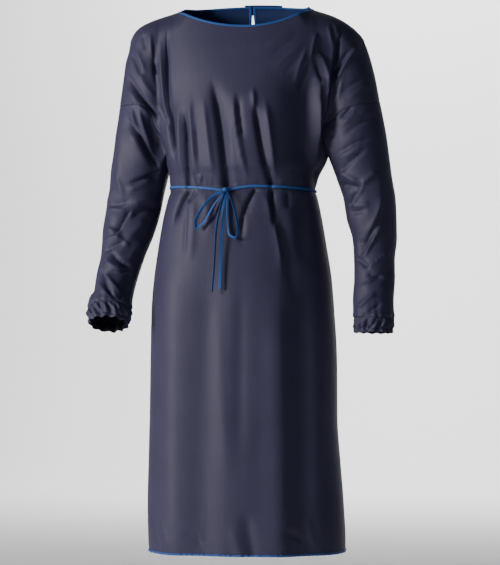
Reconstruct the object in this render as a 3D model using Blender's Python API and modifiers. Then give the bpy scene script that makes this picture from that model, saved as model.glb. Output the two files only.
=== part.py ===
"""Protective smock, worn and hollow.

A long-sleeved smock of thin coated cloth, with dropped shoulders, a wide neck, a bound
opening down the centre back, elasticated cuffs and a tape tied in a bow at the front.
The wearer faces -Y and the wearer's right arm is at -X. The origin lies between the
shoulders, level with the corners of the neck, where the wearer holds the smock up.

The body is an inflated front view: at each place (x, z) the front lies at -Y and the back
at +Y by a depth worked out from the tables below. Shoulder, side and outer-arm seams lie
where that depth is nothing, in the plane Y = 0. All sizes are in millimetres.
"""
import math

import bmesh
import bpy
import numpy as np

MM = 0.001
TINY = 1e-9

# Cloth and trim
WALL = 1.5
SEAM_GAP = 0.3
BINDING_WIDTH = 6.5
BINDING_WALL = 2.1
BINDING_LIFT = 0.3
NECK_GAP = 0.45
CORNER_GAP = 0.8
END_BESIDE = 1.5
END_SET_OFF = 0.8
TAPE_WIDTH = 6.5
TAPE_WALL = 1.0
TAPE_LIFT = 0.4

# Body: edges of the torso from the front, and its depth in front and behind
ROUNDNESS = 0.85
DRAPE_BLEND = 0.35
CHEST_Z = -330
TORSO = (
    "z      right_edge  left_edge  front  back",
    (-1178, -213, 215, 156, 157),
    (-1156, -215, 215, 156, 157),
    (-1069, -217, 211, 154, 156),
    (-981, -215, 204, 151, 155),
    (-893, -213, 198, 149, 154),
    (-762, -211, 197, 147, 152),
    (-653, -209, 191, 144, 148),
    (-587, -204, 186, 140, 141),
    (-521, -195, 176, 134, 133),
    (-455, -184, 165, 127, 122),
    (-420, -176, 158, 122, 114),
    (-388, -169, 152, 117, 107),
    (-360, -170, 158, 124, 109),
    (-345, -173, 166, 131, 112),
    (-330, -178, 174, 133, 114),
    (-313, -184, 180, 134, 116),
    (-280, -190, 191, 134, 119),
    (-240, -193, 199, 134, 122),
    (-150, -195, 210, 124, 122),
    (-100, -195, 213, 113, 114),
    (-50, -195, 215, 98, 101),
    (0, -195, 215, 82, 84),
    (25, -195, 215, 74, 76),
)

# Arms: inner and outer edge from the front, half depth, and how far the arm is set back
RIGHT_ARM = (
    "z     inner  outer  depth  set_back",
    (-690, -248, -331, 42, -98),
    (-672, -244, -336, 45, -90),
    (-652, -243, -338, 46, -80),
    (-634, -243, -338, 46, -70),
    (-618, -242, -329, 45, -60),
    (-580, -236, -327, 48, -40),
    (-535, -225, -321, 52, -18),
    (-480, -205, -320, 59, -2),
    (-433, -192, -314, 64, 4),
    (-390, -184, -306, 67, 3),
    (-345, -173, -302, 69, 0),
    (-300, -162, -295, 70, 0),
    (-250, -158, -288, 70, 0),
    (-193, -154, -281, 69, 0),
    (-149, -150, -275, 67, 0),
    (-105, -146, -269, 64, 0),
    (-83, -143, -263, 62, 0),
    (-57, -140, -260, 60, 0),
    (25, -140, -260, 58, 0),
)
LEFT_ARM = (
    "z     inner  outer  depth  set_back",
    (-710, 239, 322, 42, -51),
    (-690, 239, 322, 42, -52),
    (-672, 238, 325, 43, -49),
    (-631, 235, 324, 45, -38),
    (-587, 237, 326, 46, -26),
    (-543, 236, 325, 49, -14),
    (-499, 232, 329, 55, -3),
    (-455, 219, 328, 62, 3),
    (-412, 212, 326, 66, 5),
    (-368, 198, 319, 68, 3),
    (-313, 180, 312, 69, 0),
    (-270, 172, 306, 70, 0),
    (-236, 168, 300, 70, 0),
    (-193, 166, 291, 69, 0),
    (-149, 162, 283, 67, 0),
    (-105, 156, 272, 64, 0),
    (-83, 152, 265, 62, 0),
    (-61, 148, 258, 60, 0),
    (25, 148, 257, 58, 0),
)

# Shoulder ridge: its height outward from the neck; inside the neck it only shapes the rounding
RIDGE_ROUNDING = 50
RIGHT_RIDGE = (
    "out  z",
    (80, 60),
    (120, 30),
    (142, 8),
    (152, 4),
    (175, -3),
    (209, -14),
    (233, -25),
    (247, -36),
    (254, -46),
    (260, -57),
)
LEFT_RIDGE = (
    "out  z",
    (80, 60),
    (120, 30),
    (142, 6),
    (152, 3),
    (190, -10),
    (212, -21),
    (228, -32),
    (241, -43),
    (250, -54),
    (257, -64),
)
NECK_CORNER = {-1: 152, 1: 150}
FRONT_NECK_Z = -46
BACK_NECK_Z = 17.5
NECK_CURVE = {"front": 0.85, "back": 0.6}

# Seam of the dropped armhole: its height round the arm, 0 at the underarm, 180 outside
RIGHT_ARMHOLE = (
    "turn  z",
    (0, -345),
    (20, -336),
    (40, -306),
    (60, -256),
    (80, -215),
    (110, -203),
    (150, -204),
    (180, -208),
)
LEFT_ARMHOLE = (
    "turn  z",
    (0, -313),
    (20, -300),
    (40, -262),
    (60, -233),
    (90, -217),
    (130, -206),
    (180, -195),
)

# Drape line between body and arm, from the underarm to the shoulder ridge
RIGHT_DRAPE = (
    "z     across",
    (-345, -173),
    (-330, -169),
    (-300, -166),
    (-250, -170),
    (-130, -181),
    (-4, -176),
)
LEFT_DRAPE = (
    "z     across",
    (-313, 180),
    (-300, 176),
    (-270, 173),
    (-236, 176),
    (-180, 185),
    (-100, 201),
    (-20, 210),
)

# Centre-back opening: width of the gap between the bound edges
BACK_CENTRE = 3
OPENING = (
    "z     gap",
    (-1178, 13),
    (-800, 9),
    (-500, 5),
    (-388, 3),
    (-300, 6),
    (-150, 9),
    (-20, 7),
    (10, 3),
    (25, 2.5),
)

# Folds, seen from the front or from behind: a soft line from start to end that bows
# sideways, with its half width and its height (troughs are below nothing)
FRONT_FOLDS = (
    "x_start  z_start  x_end  z_end  bow  width  height",
    (-124, -196, -120, -392, 3, 13, -7),
    (-61, -170, -44, -394, -4, 15, -8),
    (-10, -200, 29, -394, 3, 13, -7),
    (29, -190, 63, -390, 2, 14, -8),
    (85, -190, 98, -392, 0, 20, -6),
    (140, -150, 150, -385, -5, 14, 4),
    (-93, -180, -84, -380, 3, 14, 4),
    (-120, -394, -153, -480, 4, 13, -6),
    (-70, -394, -76, -470, 0, 12, -4),
    (33, -394, 6, -520, 3, 12, -6),
    (40, -394, 74, -650, -10, 13, -7),
    (67, -396, 92, -590, -5, 13, -6),
    (110, -396, 128, -560, 4, 16, -6),
    (-60, -470, -62, -1170, 12, 36, -7),
    (-147, -560, -150, -1170, -6, 26, 7),
    (16, -620, 22, -1176, 5, 20, 7),
    (76, -600, 82, -1160, -8, 18, 6),
    (122, -560, 130, -1176, 6, 26, -8),
    (-176, -30, -171, -235, 8, 11, -7),
    (212, -40, 189, -240, 2, 11, -8),
    (-262, -120, -188, -225, -6, 13, -8),
    (-256, -234, -190, -350, 6, 13, -7),
    (-222, -212, -205, -305, 2, 12, -5),
    (248, -75, 196, -175, 8, 13, -7),
    (163, -80, 182, -165, -8, 12, -5),
    (292, -230, 236, -330, -6, 14, -6),
)
BACK_FOLDS = (
    "x_start  z_start  x_end  z_end  bow  width  height",
    (-120, -170, -112, -392, -4, 15, -8),
    (-66, -190, -56, -394, 3, 13, -7),
    (52, -185, 62, -394, -3, 14, -8),
    (104, -160, 112, -392, 4, 15, -7),
    (-140, -394, -158, -560, 4, 14, -6),
    (-84, -394, -98, -620, -5, 14, -7),
    (46, -394, 58, -600, 5, 13, -6),
    (96, -394, 112, -650, -4, 15, -7),
    (-128, -560, -134, -1170, 8, 28, 7),
    (-70, -620, -66, -1176, -7, 24, -7),
    (62, -600, 72, -1176, 6, 26, 7),
    (132, -560, 140, -1170, -8, 26, -7),
    (-190, -40, -182, -240, 6, 12, -7),
    (206, -50, 190, -235, -4, 12, -7),
    (-258, -110, -196, -215, 6, 14, -6),
    (262, -105, 204, -205, -6, 14, -6),
    (-262, -236, -206, -340, -5, 14, -6),
    (284, -226, 224, -320, 6, 14, -6),
)
SLEEVE_FRONT_FOLDS = (
    "x_start  z_start  x_end  z_end  bow  width  height",
    (-304, -440, -222, -492, 8, 13, -6),
    (-312, -500, -236, -540, -6, 12, -6),
    (-320, -560, -246, -590, 6, 11, -5),
    (-262, -262, -246, -430, -8, 15, 5),
    (222, -400, 300, -462, 8, 13, -6),
    (228, -456, 306, -508, -6, 12, -6),
    (240, -520, 312, -560, 6, 11, -5),
    (268, -250, 286, -400, 8, 16, 5),
)
SLEEVE_BACK_FOLDS = (
    "x_start  z_start  x_end  z_end  bow  width  height",
    (-300, -410, -220, -450, -8, 14, -6),
    (-308, -470, -232, -486, 6, 12, -5),
    (-258, -270, -262, -400, 8, 15, 5),
    (226, -420, 308, -440, 8, 14, -6),
    (238, -478, 314, -492, -6, 12, -5),
    (262, -262, 284, -380, -8, 15, 5),
)
FOLD_FADE = 25
FOLD_END = 0.28

# Rows and columns of the cloth
LOWER_ROWS = (
    -1178, -1171.5, -1150, -1105, -1050, -990, -930, -870, -810, -750, -690, -640,
    -595, -552, -512, -474, -440, -412, -394.2, -387.7, -372,
)
BELT_ROW = 18
UPPER_ROWS = 12
LAST_ROW = 0.997
LAST_TURN = 172
BODY_COLUMNS = 12
NECK_COLUMNS = {"front": 9, "back": 9}
ARM_COLUMNS = 9
SLEEVE_ROWS = 15
SLEEVE_SPACING = 1.1
SLEEVE_RIM = 0.006
CUFF_WAVES = 12
CUFF_WAVE_POINTS = 4

# Cuffs: where they start on the arm, their length, and how deep their gathers are
CUFF_START = {-1: -652, 1: -672}
CUFF_END = {-1: -684, 1: -703}
CUFF_GATHER = 2.4
CUFF_TILT = {-1: 24, 1: 2}
CUFF_ROWS = (0, 0.06, 0.3, 0.6, 1)
GATHER_FULL = 0.6
TILT_START = -430
TILT_RUN = 180
SEAM_BLEND = 90
FOLD_BLEND = 60

# Tab across the top of the centre-back opening
TAB_START = -14
TAB_END = 70
TAB_COLUMNS = 10
TAB_BELOW = (15, 11, 7, 3, 0.5)
TAB_ABOVE = (3.5, 7.5)
TAB_LIFT = 1.2
TAB_WALL = 1.2

# Knot, bow and tie ends, hanging in front of the skirt by the clearance in each row
KNOT_PLACE = (-31, -395)
KNOT_RADII = (7, 6.5, 6)
LOOP_RIGHT = (
    "x     z     clear",
    (-36, -400.7, 11.5),
    (-55, -409, 13),
    (-80, -436, 14),
    (-95, -466, 14),
    (-92, -479, 12),
    (-76, -466, 9),
    (-58, -433, 6.5),
    (-37, -403, 4.2),
)
LOOP_LEFT = (
    "x     z     clear",
    (-26, -400.7, 11.5),
    (-16, -422, 13),
    (-6, -456, 14),
    (-1, -484, 14),
    (-8, -501, 11),
    (-21, -494, 8),
    (-26, -462, 6),
    (-25.5, -403, 4.2),
)
TIE_FLAT = (
    "x     z     clear",
    (-31.3, -401.5, 7.8),
    (-33, -440, 12),
    (-35, -480, 12),
    (-38, -540, 9),
    (-40, -610, 7),
)
TIE_NARROW = (
    "x     z     clear",
    (-31, -401.4, 11.9),
    (-40, -440, 20),
    (-48, -490, 20),
    (-51, -550, 15),
    (-56, -617, 12),
)

# Finish of each cloth: name, colour and roughness
COATED_CLOTH = ("coated_cloth", (0.045, 0.047, 0.075, 1), 0.45)
BIAS_BINDING = ("bias_binding", (0.035, 0.10, 0.30, 1), 0.6)
WOVEN_TAPE = ("woven_tape", (0.035, 0.10, 0.30, 1), 0.65)


def named(table):
    """Turns a short table into a dictionary of its columns."""
    names = table[0].split()
    columns = np.array(table[1:], dtype=float).T
    return dict(zip(names, columns))


def smooth(keys, values, at):
    """Smooth curve through table values that never overshoots them."""
    order = np.argsort(keys)
    keys = keys[order]
    values = values[order]
    step = np.diff(keys)
    rise = np.diff(values) / step
    slope = np.concatenate((rise[:1], np.zeros(len(keys) - 2), rise[-1:]))
    same = rise[1:] * rise[:-1] > 0
    total = np.where(same, rise[1:] + rise[:-1], 1)
    slope[1:-1] = np.where(same, 2 * rise[1:] * rise[:-1] / total, 0)
    at = np.clip(at, keys[0], keys[-1])
    i = np.clip(np.searchsorted(keys, at) - 1, 0, len(keys) - 2)
    t = (at - keys[i]) / step[i]
    start = (1 + 2 * t) * (1 - t) ** 2 * values[i] + t * (1 - t) ** 2 * step[i] * slope[i]
    end = t ** 2 * (3 - 2 * t) * values[i + 1] - t ** 2 * (1 - t) * step[i] * slope[i + 1]
    return start + end


def ease(t):
    """Smooth step from 0 to 1."""
    t = np.clip(t, 0, 1)
    return t * t * (3 - 2 * t)


def unit(vectors):
    """Vectors of length 1."""
    length = np.linalg.norm(vectors, axis=-1, keepdims=True)
    return vectors / np.maximum(length, TINY)


torso = named(TORSO)
arms = {-1: named(RIGHT_ARM), 1: named(LEFT_ARM)}
ridges = {-1: named(RIGHT_RIDGE), 1: named(LEFT_RIDGE)}
armholes = {-1: named(RIGHT_ARMHOLE), 1: named(LEFT_ARMHOLE)}
drapes = {-1: named(RIGHT_DRAPE), 1: named(LEFT_DRAPE)}
opening = named(OPENING)


def torso_edge(side, z):
    """Edge of the torso on one side, -1 the wearer's right and 1 the left."""
    column = "right_edge" if side < 0 else "left_edge"
    return smooth(torso["z"], torso[column], z)


def middle(z):
    """Middle of the torso from the front."""
    return 0.5 * (torso_edge(-1, z) + torso_edge(1, z))


def arm_section(side, z):
    """Centre, half width and half depth of an arm at a height."""
    arm = arms[side]
    inner = smooth(arm["z"], arm["inner"], z)
    outer = smooth(arm["z"], arm["outer"], z)
    depth = smooth(arm["z"], arm["depth"], z)
    return 0.5 * (inner + outer), 0.5 * np.abs(outer - inner), depth


def ridge_height(side, x):
    """Height of the shoulder ridge at a place across."""
    ridge = ridges[side]
    return smooth(ridge["out"], ridge["z"], side * x)


def body_depth(x, z, face):
    """Depth of the body at a place of the front view, on the front or the back."""
    total = 0
    centre = middle(z)
    deep = smooth(torso["z"], torso[face], z)
    for side in (-1, 1):
        here = x < centre if side < 0 else x >= centre
        half = np.abs(torso_edge(side, z) - centre)
        across = np.clip(np.abs(x - centre) / half, 0, 1)
        chest = deep * (1 - across ** (2 / ROUNDNESS)) ** (ROUNDNESS / 2)
        arm_centre, arm_half, arm_deep = arm_section(side, z)
        over = np.clip(np.abs(x - arm_centre) / arm_half, 0, 1)
        arm = arm_deep * np.sqrt(1 - over ** 2)
        arm = np.where(z > armholes[side]["z"][0], arm, 0)
        reach = DRAPE_BLEND * (chest + arm) + TINY
        blend = np.maximum(chest, arm) + np.maximum(reach - np.abs(chest - arm), 0) ** 2 / (4 * reach)
        below = np.clip((ridge_height(side, x) - z) / RIDGE_ROUNDING, 0, 1)
        rounded = np.sqrt(1 - (1 - below) ** 2)
        total = total + np.where(here, blend * rounded, 0)
    return total


def face_sign(face):
    """-1 for the front and 1 for the back."""
    return -1 if face == "front" else 1


def body_normal(x, z, face):
    """Outward direction of the body at a place of the front view."""
    step = 1.0
    rise_x = (body_depth(x + step, z, face) - body_depth(x - step, z, face)) / (2 * step)
    rise_z = (body_depth(x, z + step, face) - body_depth(x, z - step, face)) / (2 * step)
    away = np.full_like(rise_x, face_sign(face))
    return unit(np.stack((-rise_x, away, -rise_z), axis=-1))


def fold_height(tables, x, z):
    """Height of the folds at places of the front view."""
    height = np.zeros_like(x)
    for table in tables:
        fold = named(table)
        for i in range(len(fold["width"])):
            along_x = fold["x_end"][i] - fold["x_start"][i]
            along_z = fold["z_end"][i] - fold["z_start"][i]
            length = math.hypot(along_x, along_z)
            from_x = x - fold["x_start"][i]
            from_z = z - fold["z_start"][i]
            t = np.clip((from_x * along_x + from_z * along_z) / length ** 2, 0, 1)
            bow = 4 * t * (1 - t) * fold["bow"][i]
            off = (from_x * along_z - from_z * along_x) / length - bow
            ends = ease(t / FOLD_END) * ease((1 - t) / FOLD_END)
            height += fold["height"][i] * np.exp(-(off / fold["width"][i]) ** 2) * ends
    return height


FOLDS = {
    "front": (FRONT_FOLDS, SLEEVE_FRONT_FOLDS),
    "back": (BACK_FOLDS, SLEEVE_BACK_FOLDS),
}


def body_points(x, z, face):
    """Points of the cloth over places of the front view, with their outward directions."""
    depth = body_depth(x, z, face)
    points = np.stack((x, face_sign(face) * depth, z), axis=-1)
    normals = body_normal(x, z, face)
    height = fold_height(FOLDS[face], x, z) * ease(depth / FOLD_FADE)
    points = points + normals * height[..., None]
    # The two faces stay half a seam gap from the plane where they meet
    points[..., 1] = face_sign(face) * np.maximum(face_sign(face) * points[..., 1], SEAM_GAP / 2)
    return points, normals


def coons(low, high, start, end, across, up):
    """Fills four edges of the front view with a grid of places."""
    across = across[None, :, None]
    up = up[:, None, None]
    sides = (1 - across) * start[:, None] + across * end[:, None]
    ends = (1 - up) * low[None] + up * high[None]
    corners = (1 - across) * ((1 - up) * low[0] + up * high[0])
    corners = corners + across * ((1 - up) * low[-1] + up * high[-1])
    return sides + ends - corners


def upper_steps():
    """Rows above the chest, close together at the underarm and at the ridge."""
    steps = 0.5 - 0.5 * np.cos(np.linspace(0, math.pi, UPPER_ROWS + 1))
    return np.insert(steps, -1, LAST_ROW)


def neck_edge(side, face, share):
    """Panel's edge at the neck, from the inner edge (0) to the corner (1)."""
    corner = NECK_CORNER[side]
    corner_z = ridge_height(side, side * corner)
    if face == "front":
        start = middle(np.array(FRONT_NECK_Z))
        x = start + (side * corner - start) * share
        lift = (1 - share ** 2) ** NECK_CURVE["front"]
        return x, corner_z + (FRONT_NECK_Z - corner_z) * lift
    start = slit_edge(side, np.array(BACK_NECK_Z))
    x = start + (side * corner - start) * share
    lift = (1 - share ** 2) ** NECK_CURVE["back"]
    return x, corner_z + (BACK_NECK_Z - corner_z) * lift


def slit_edge(side, z):
    """Finished edge of the centre-back opening."""
    return BACK_CENTRE + side * smooth(opening["z"], opening["gap"], z) / 2


def column_shares(face):
    """Shares of the half width at which the columns stand."""
    turn = np.linspace(0, math.pi / 2, BODY_COLUMNS + 1)
    shares = np.sin(turn) ** ROUNDNESS
    if face == "back":
        # One more column bounds the binding of the opening
        shares = np.insert(shares, 1, 0.0)
    return shares


def half_places(side, face):
    """Places of one half of the body, row by row from the hem and column by column outward."""
    shares = column_shares(face)
    rows = []
    for z in LOWER_ROWS:
        rows.append(row_places(side, face, shares, np.full_like(shares, float(z))))
    underarm = armholes[side]["z"][0]
    chest = CHEST_Z + (underarm - CHEST_Z) * ease(shares)
    low = row_places(side, face, shares, chest)
    up = upper_steps()

    drape = drapes[side]
    top_z = drape["z"].max()
    top_x = float(smooth(drape["z"], drape["across"], np.array(top_z)))
    top_z = float(ridge_height(side, top_x))
    outer_z = underarm + (top_z - underarm) * up
    outer = np.stack((smooth(drape["z"], drape["across"], outer_z), outer_z), axis=-1)
    outer[-1] = (top_x, top_z)

    neck_columns = NECK_COLUMNS[face]
    neck_share = np.linspace(0, 1, neck_columns + 1)
    neck_x, neck_z = neck_edge(side, face, neck_share)
    if face == "back":
        inner_edge = slit_edge(side, np.array(BACK_NECK_Z)) + side * BINDING_WIDTH
        neck_x = np.insert(neck_x, 1, inner_edge)
        neck_z = np.insert(neck_z, 1, neck_z[0])
    count = len(shares) - len(neck_x)
    ridge_x = np.linspace(neck_x[-1], top_x, count + 1)[1:]
    high_x = np.concatenate((neck_x, ridge_x))
    high_z = np.concatenate((neck_z, ridge_height(side, ridge_x)))
    high = np.stack((high_x, high_z), axis=-1)

    inner_z = low[0, 1] + (high[0, 1] - low[0, 1]) * up
    if face == "front":
        inner_x = low[0, 0] + (high[0, 0] - low[0, 0]) * up
    else:
        inner_x = slit_edge(side, inner_z)
    inner = np.stack((inner_x, inner_z), axis=-1)
    across = np.abs(low[:, 0] - low[0, 0]) / abs(low[-1, 0] - low[0, 0])
    upper = coons(low, high, inner, outer, across, up)
    if face == "back":
        upper[:, 1, 0] = upper[:, 0, 0] + side * BINDING_WIDTH
        upper[:, 1, 1] = upper[:, 0, 1]
    return np.concatenate((np.array(rows), upper))


def row_places(side, face, shares, z):
    """Places along one row, from the middle or the opening to the side seam."""
    edge = torso_edge(side, z)
    start = middle(z) if face == "front" else slit_edge(side, z)
    x = start + (edge - start) * shares
    if face == "back":
        x[1] = x[0] + side * BINDING_WIDTH
    return np.stack((x, z), axis=-1)


def armhole_place(side, turn):
    """Place of the armhole seam at a turn round the arm, in degrees from the underarm."""
    armhole = armholes[side]
    z = smooth(armhole["turn"], armhole["z"], turn)
    centre, half, _ = arm_section(side, z)
    return np.stack((centre - side * half * np.cos(np.radians(turn)), z), axis=-1)


def arm_turns():
    """Columns over the top of the arm, with one close to the outer seam."""
    return np.append(np.linspace(0, 180, ARM_COLUMNS + 1)[:-1], (LAST_TURN, 180.0))


def wing_places(side, drape_column):
    """Places of the cloth over the upper arm, between the drape line and the outer seam."""
    low = armhole_place(side, arm_turns())
    arm = arms[side]
    up = upper_steps()
    corner_x = side * ridges[side]["out"][-1]
    corner_z = ridges[side]["z"][-1]
    outer_z = low[-1, 1] + (corner_z - low[-1, 1]) * up
    outer = np.stack((smooth(arm["z"], arm["outer"], outer_z), outer_z), axis=-1)
    across = (1 - np.cos(np.radians(arm_turns()))) / 2
    high_x = drape_column[-1, 0] + (corner_x - drape_column[-1, 0]) * across
    high = np.stack((high_x, ridge_height(side, high_x)), axis=-1)
    high[0] = drape_column[-1]
    outer[-1] = high[-1]
    return coons(low, high, drape_column, outer, across, up)


def pull_edge(points, edge, inside, distance):
    """Moves an edge of a grid inward along the cloth by the given distance."""
    run = np.gradient(points[edge], axis=0)
    toward = points[inside] - points[edge]
    run = unit(run)
    toward = unit(toward - run * np.sum(toward * run, axis=-1, keepdims=True))
    points[edge] = points[edge] + toward * distance


def all_panels():
    """Grids of the body: places turned to cloth points, for both faces and sides."""
    grids = {}
    for face in ("front", "back"):
        for side in (-1, 1):
            places = half_places(side, face)
            body, _ = body_points(places[..., 0], places[..., 1], face)
            upper = len(upper_steps())
            wing = wing_places(side, places[-upper:, -1])
            arm, _ = body_points(wing[..., 0], wing[..., 1], face)
            arm[:, 0] = body[-upper:, -1]
            # The outer corner of the shoulder is one point
            arm[-2:, -2:] = arm[-1, -1]
            arm[-4:, -1, 1] = face_sign(face) * CORNER_GAP / 2
            arm[-2:, -2:, 1] = face_sign(face) * CORNER_GAP
            grids[face, side] = body, arm
    return grids


# Mesh building


def add_grid(mesh, points, flip):
    """Adds a grid of points, in millimetres, to a mesh as quads."""
    rows, columns = points.shape[:2]
    verts = [[mesh.verts.new(tuple(float(v) * MM for v in p)) for p in row] for row in points]
    for i in range(rows - 1):
        for j in range(columns - 1):
            corners = [verts[i][j], verts[i][j + 1], verts[i + 1][j + 1], verts[i + 1][j]]
            if flip:
                corners.reverse()
            mesh.faces.new(corners)


def add_ring_grid(mesh, points):
    """Adds rings of points, in millimetres, to a mesh as a tube of quads that faces out."""
    rows, columns = points.shape[:2]
    normal = np.cross(points[0, 1] - points[0, 0], points[1, 0] - points[0, 0])
    if np.dot(normal, points[0, 0] - points[0].mean(axis=0)) < 0:
        points = points[:, ::-1]
    verts = [[mesh.verts.new(tuple(float(v) * MM for v in p)) for p in row] for row in points]
    for i in range(rows - 1):
        for j in range(columns):
            k = (j + 1) % columns
            mesh.faces.new([verts[i][j], verts[i][k], verts[i + 1][k], verts[i + 1][j]])


def make_material(name, finish):
    """Principled material of one sub-part, from the finish of its cloth."""
    finish_name, colour, roughness = finish
    material = bpy.data.materials.new(f"{name}_{finish_name}")
    material.use_nodes = True
    shader = material.node_tree.nodes["Principled BSDF"]
    shader.inputs["Base Color"].default_value = colour
    shader.inputs["Roughness"].default_value = roughness
    shader.inputs["Metallic"].default_value = 0.0
    return material


def make_object(name, mesh, material, wall=None, shift=-1):
    """Links a mesh as a named sub-part and gives it its wall."""
    bmesh.ops.remove_doubles(mesh, verts=mesh.verts, dist=0.00001)
    data = bpy.data.meshes.new(name)
    mesh.to_mesh(data)
    mesh.free()
    data.materials.append(make_material(name, material))
    data.shade_smooth()
    item = bpy.data.objects.new(name, data)
    parts.objects.link(item)
    if wall:
        solidify = item.modifiers.new("wall", "SOLIDIFY")
        solidify.thickness = wall * MM
        solidify.offset = shift
        solidify.use_even_offset = False
    return item


def cloth_panel(name, grids, material, face):
    """One panel of the body from its grids."""
    mesh = bmesh.new()
    away = np.array((0, face_sign(face), 0))
    for points in grids:
        i = points.shape[0] // 2
        j = points.shape[1] // 2
        across = points[i, j + 1] - points[i, j]
        up = points[i + 1, j] - points[i, j]
        faces_out = float(np.dot(np.cross(across, up), away)) > 0
        add_grid(mesh, points, not faces_out)
    return make_object(name, mesh, material, WALL)


def build_body(grids, material):
    """Front and back panels."""
    front = []
    for side in (-1, 1):
        body, arm = (g.copy() for g in grids["front", side])
        trim_panel(body, arm)
        front += [body[1:], arm]
    cloth_panel("front", front, material, "front")
    for side, name in ((-1, "back_right"), (1, "back_left")):
        body, arm = (g.copy() for g in grids["back", side])
        trim_panel(body, arm)
        panel = body[1:, 1:]
        pull_edge_columns(panel, SEAM_GAP)
        cloth_panel(name, [panel, arm], material, "back")


def trim_panel(body, arm):
    """Leaves the seam gap at the hem binding and at the armhole."""
    corner = arm[0, 0].copy()
    pull_edge(body, 1, 2, SEAM_GAP)
    pull_edge(arm, 0, 1, SEAM_GAP / 2)
    arm[0, 0] = corner


def pull_edge_columns(points, distance):
    """Moves the first column of a grid inward along the cloth."""
    turned = np.swapaxes(points, 0, 1)
    pull_edge(turned, 0, 1, distance)


def strip(name, inner, outer, lift, material, wall, away):
    """Flat trim between two lines of points, lifted off the cloth and given its wall."""
    points = np.stack((inner, outer))
    along = np.gradient(points[0], axis=0)
    normal = unit(np.cross(along, points[1] - points[0]))
    if np.sum(normal * away) < 0:
        normal = -normal
        flip = True
    else:
        flip = False
    points = points + normal[None] * lift
    mesh = bmesh.new()
    add_grid(mesh, points, flip)
    return make_object(name, mesh, material, wall)


def band_directions(line, normals):
    """Directions along the cloth that lead off a panel across its edge."""
    along = unit(np.gradient(line, axis=0))
    return unit(np.cross(along, normals))


def neck_trim(grids, material):
    """Binding round the neck, in three pieces."""
    for face, side, name in (
        ("front", 0, "neck_binding_front"),
        ("back", -1, "neck_binding_back_right"),
        ("back", 1, "neck_binding_back_left"),
    ):
        if face == "front":
            count = NECK_COLUMNS[face] + 1
            right = grids[face, -1][0][-1, :count]
            left = grids[face, 1][0][-1, :count]
            line = np.concatenate((right[::-1], left[1:]))
        else:
            count = NECK_COLUMNS[face] + 2
            line = grids[face, side][0][-1, :count].copy()
        normals = body_normal(line[:, 0], line[:, 2], face)
        off = band_directions(line, normals)
        middle_place = np.array((0, 0, 60))
        toward = middle_place - line
        off = np.where(np.sum(off * toward, axis=-1, keepdims=True) < 0, -off, off)
        ends = (0, -1) if face == "front" else (-1,)
        for end in ends:
            inward = -1 if line[end, 0] > 0 else 1
            off[end] = unit(np.array((inward * 1.0, 0.0, 0.12)))
        for end in ends:
            line, off = square_end(line, off, end, face)
        inner = line + off * NECK_GAP
        outer = line + off * (NECK_GAP + BINDING_WIDTH)
        points = np.stack((inner, outer))
        normal = unit(np.cross(np.gradient(inner, axis=0), off))
        up_or_out = np.array((0, face_sign(face), 0.6))
        if np.sum(normal * up_or_out) < 0:
            normal = -normal
        for end in ends:
            near = 1 if end == 0 else -2
            normal[end] = np.array((0, 0, 1))
            normal[near] = np.array((0, 0, 1))
        points = points + normal[None] * BINDING_LIFT
        points[..., 1] = face_sign(face) * np.maximum(
            face_sign(face) * points[..., 1], SEAM_GAP / 2
        )
        mesh = bmesh.new()
        across = points[0, 2] - points[0, 1]
        faces_out = np.dot(np.cross(across, points[1, 1] - points[0, 1]), normal[1]) > 0
        add_grid(mesh, points, not faces_out)
        make_object(name, mesh, material, BINDING_WALL)


def square_end(line, off, end, face):
    """Adds a point beside an end of a line, so that its end face is square to the seam."""
    beside = np.array((0, face_sign(face) * END_BESIDE, 0))
    near = line[end] + beside + off[end] * END_SET_OFF
    place = 1 if end == 0 else len(line) - 1
    return np.insert(line, place, near, axis=0), np.insert(off, place, off[end], axis=0)


def edge_trim(grids, material):
    """Binding down both edges of the centre-back opening."""
    for side, name in ((-1, "edge_binding_right"), (1, "edge_binding_left")):
        body = np.delete(grids["back", side][0], -2, axis=0)
        outer = body[1:, 0].copy()
        inner = body[1:, 1].copy()
        for line in (outer, inner):
            line[0] += unit(line[1] - line[0]) * SEAM_GAP
            line[-1] += unit(line[-2] - line[-1]) * SEAM_GAP
        away = np.array((0, 1, 0))
        strip(name, inner, outer, BINDING_LIFT, material, BINDING_WALL, away)


def hem_trim(grids, material):
    """Binding round the hem, in three pieces."""
    right = grids["front", -1][0][:2]
    left = grids["front", 1][0][:2]
    front = np.concatenate((right[:, ::-1], left[:, 1:]), axis=1)
    hem_strip("hem_binding_front", front, material, "front")
    hem_strip("hem_binding_back_right", grids["back", -1][0][:2], material, "back")
    hem_strip("hem_binding_back_left", grids["back", 1][0][:2], material, "back")


def hem_strip(name, rows, material, face):
    """One piece of the hem binding, from the two lowest rows of a panel."""
    along = np.gradient(rows[1], axis=0)
    normal = unit(np.cross(along, rows[1] - rows[0]))
    j = normal.shape[0] // 2
    if normal[j, 1] * face_sign(face) < 0:
        normal = -normal
    points = rows + normal[None] * BINDING_LIFT
    points[..., 1] = face_sign(face) * np.maximum(face_sign(face) * points[..., 1], SEAM_GAP / 2)
    mesh = bmesh.new()
    across = points[0, j + 1] - points[0, j]
    faces_out = np.dot(np.cross(across, points[1, j] - points[0, j]), normal[j]) > 0
    add_grid(mesh, points, not faces_out)
    make_object(name, mesh, material, BINDING_WALL)


# Sleeves


def sleeve_axis(side, level):
    """Centre of the arm at a height."""
    arm = arms[side]
    centre, half, depth = arm_section(side, level)
    back = smooth(arm["z"], arm["set_back"], level)
    back = np.where(level > armholes[side]["z"][0], 0, back)
    return centre, back, half, depth


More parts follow.
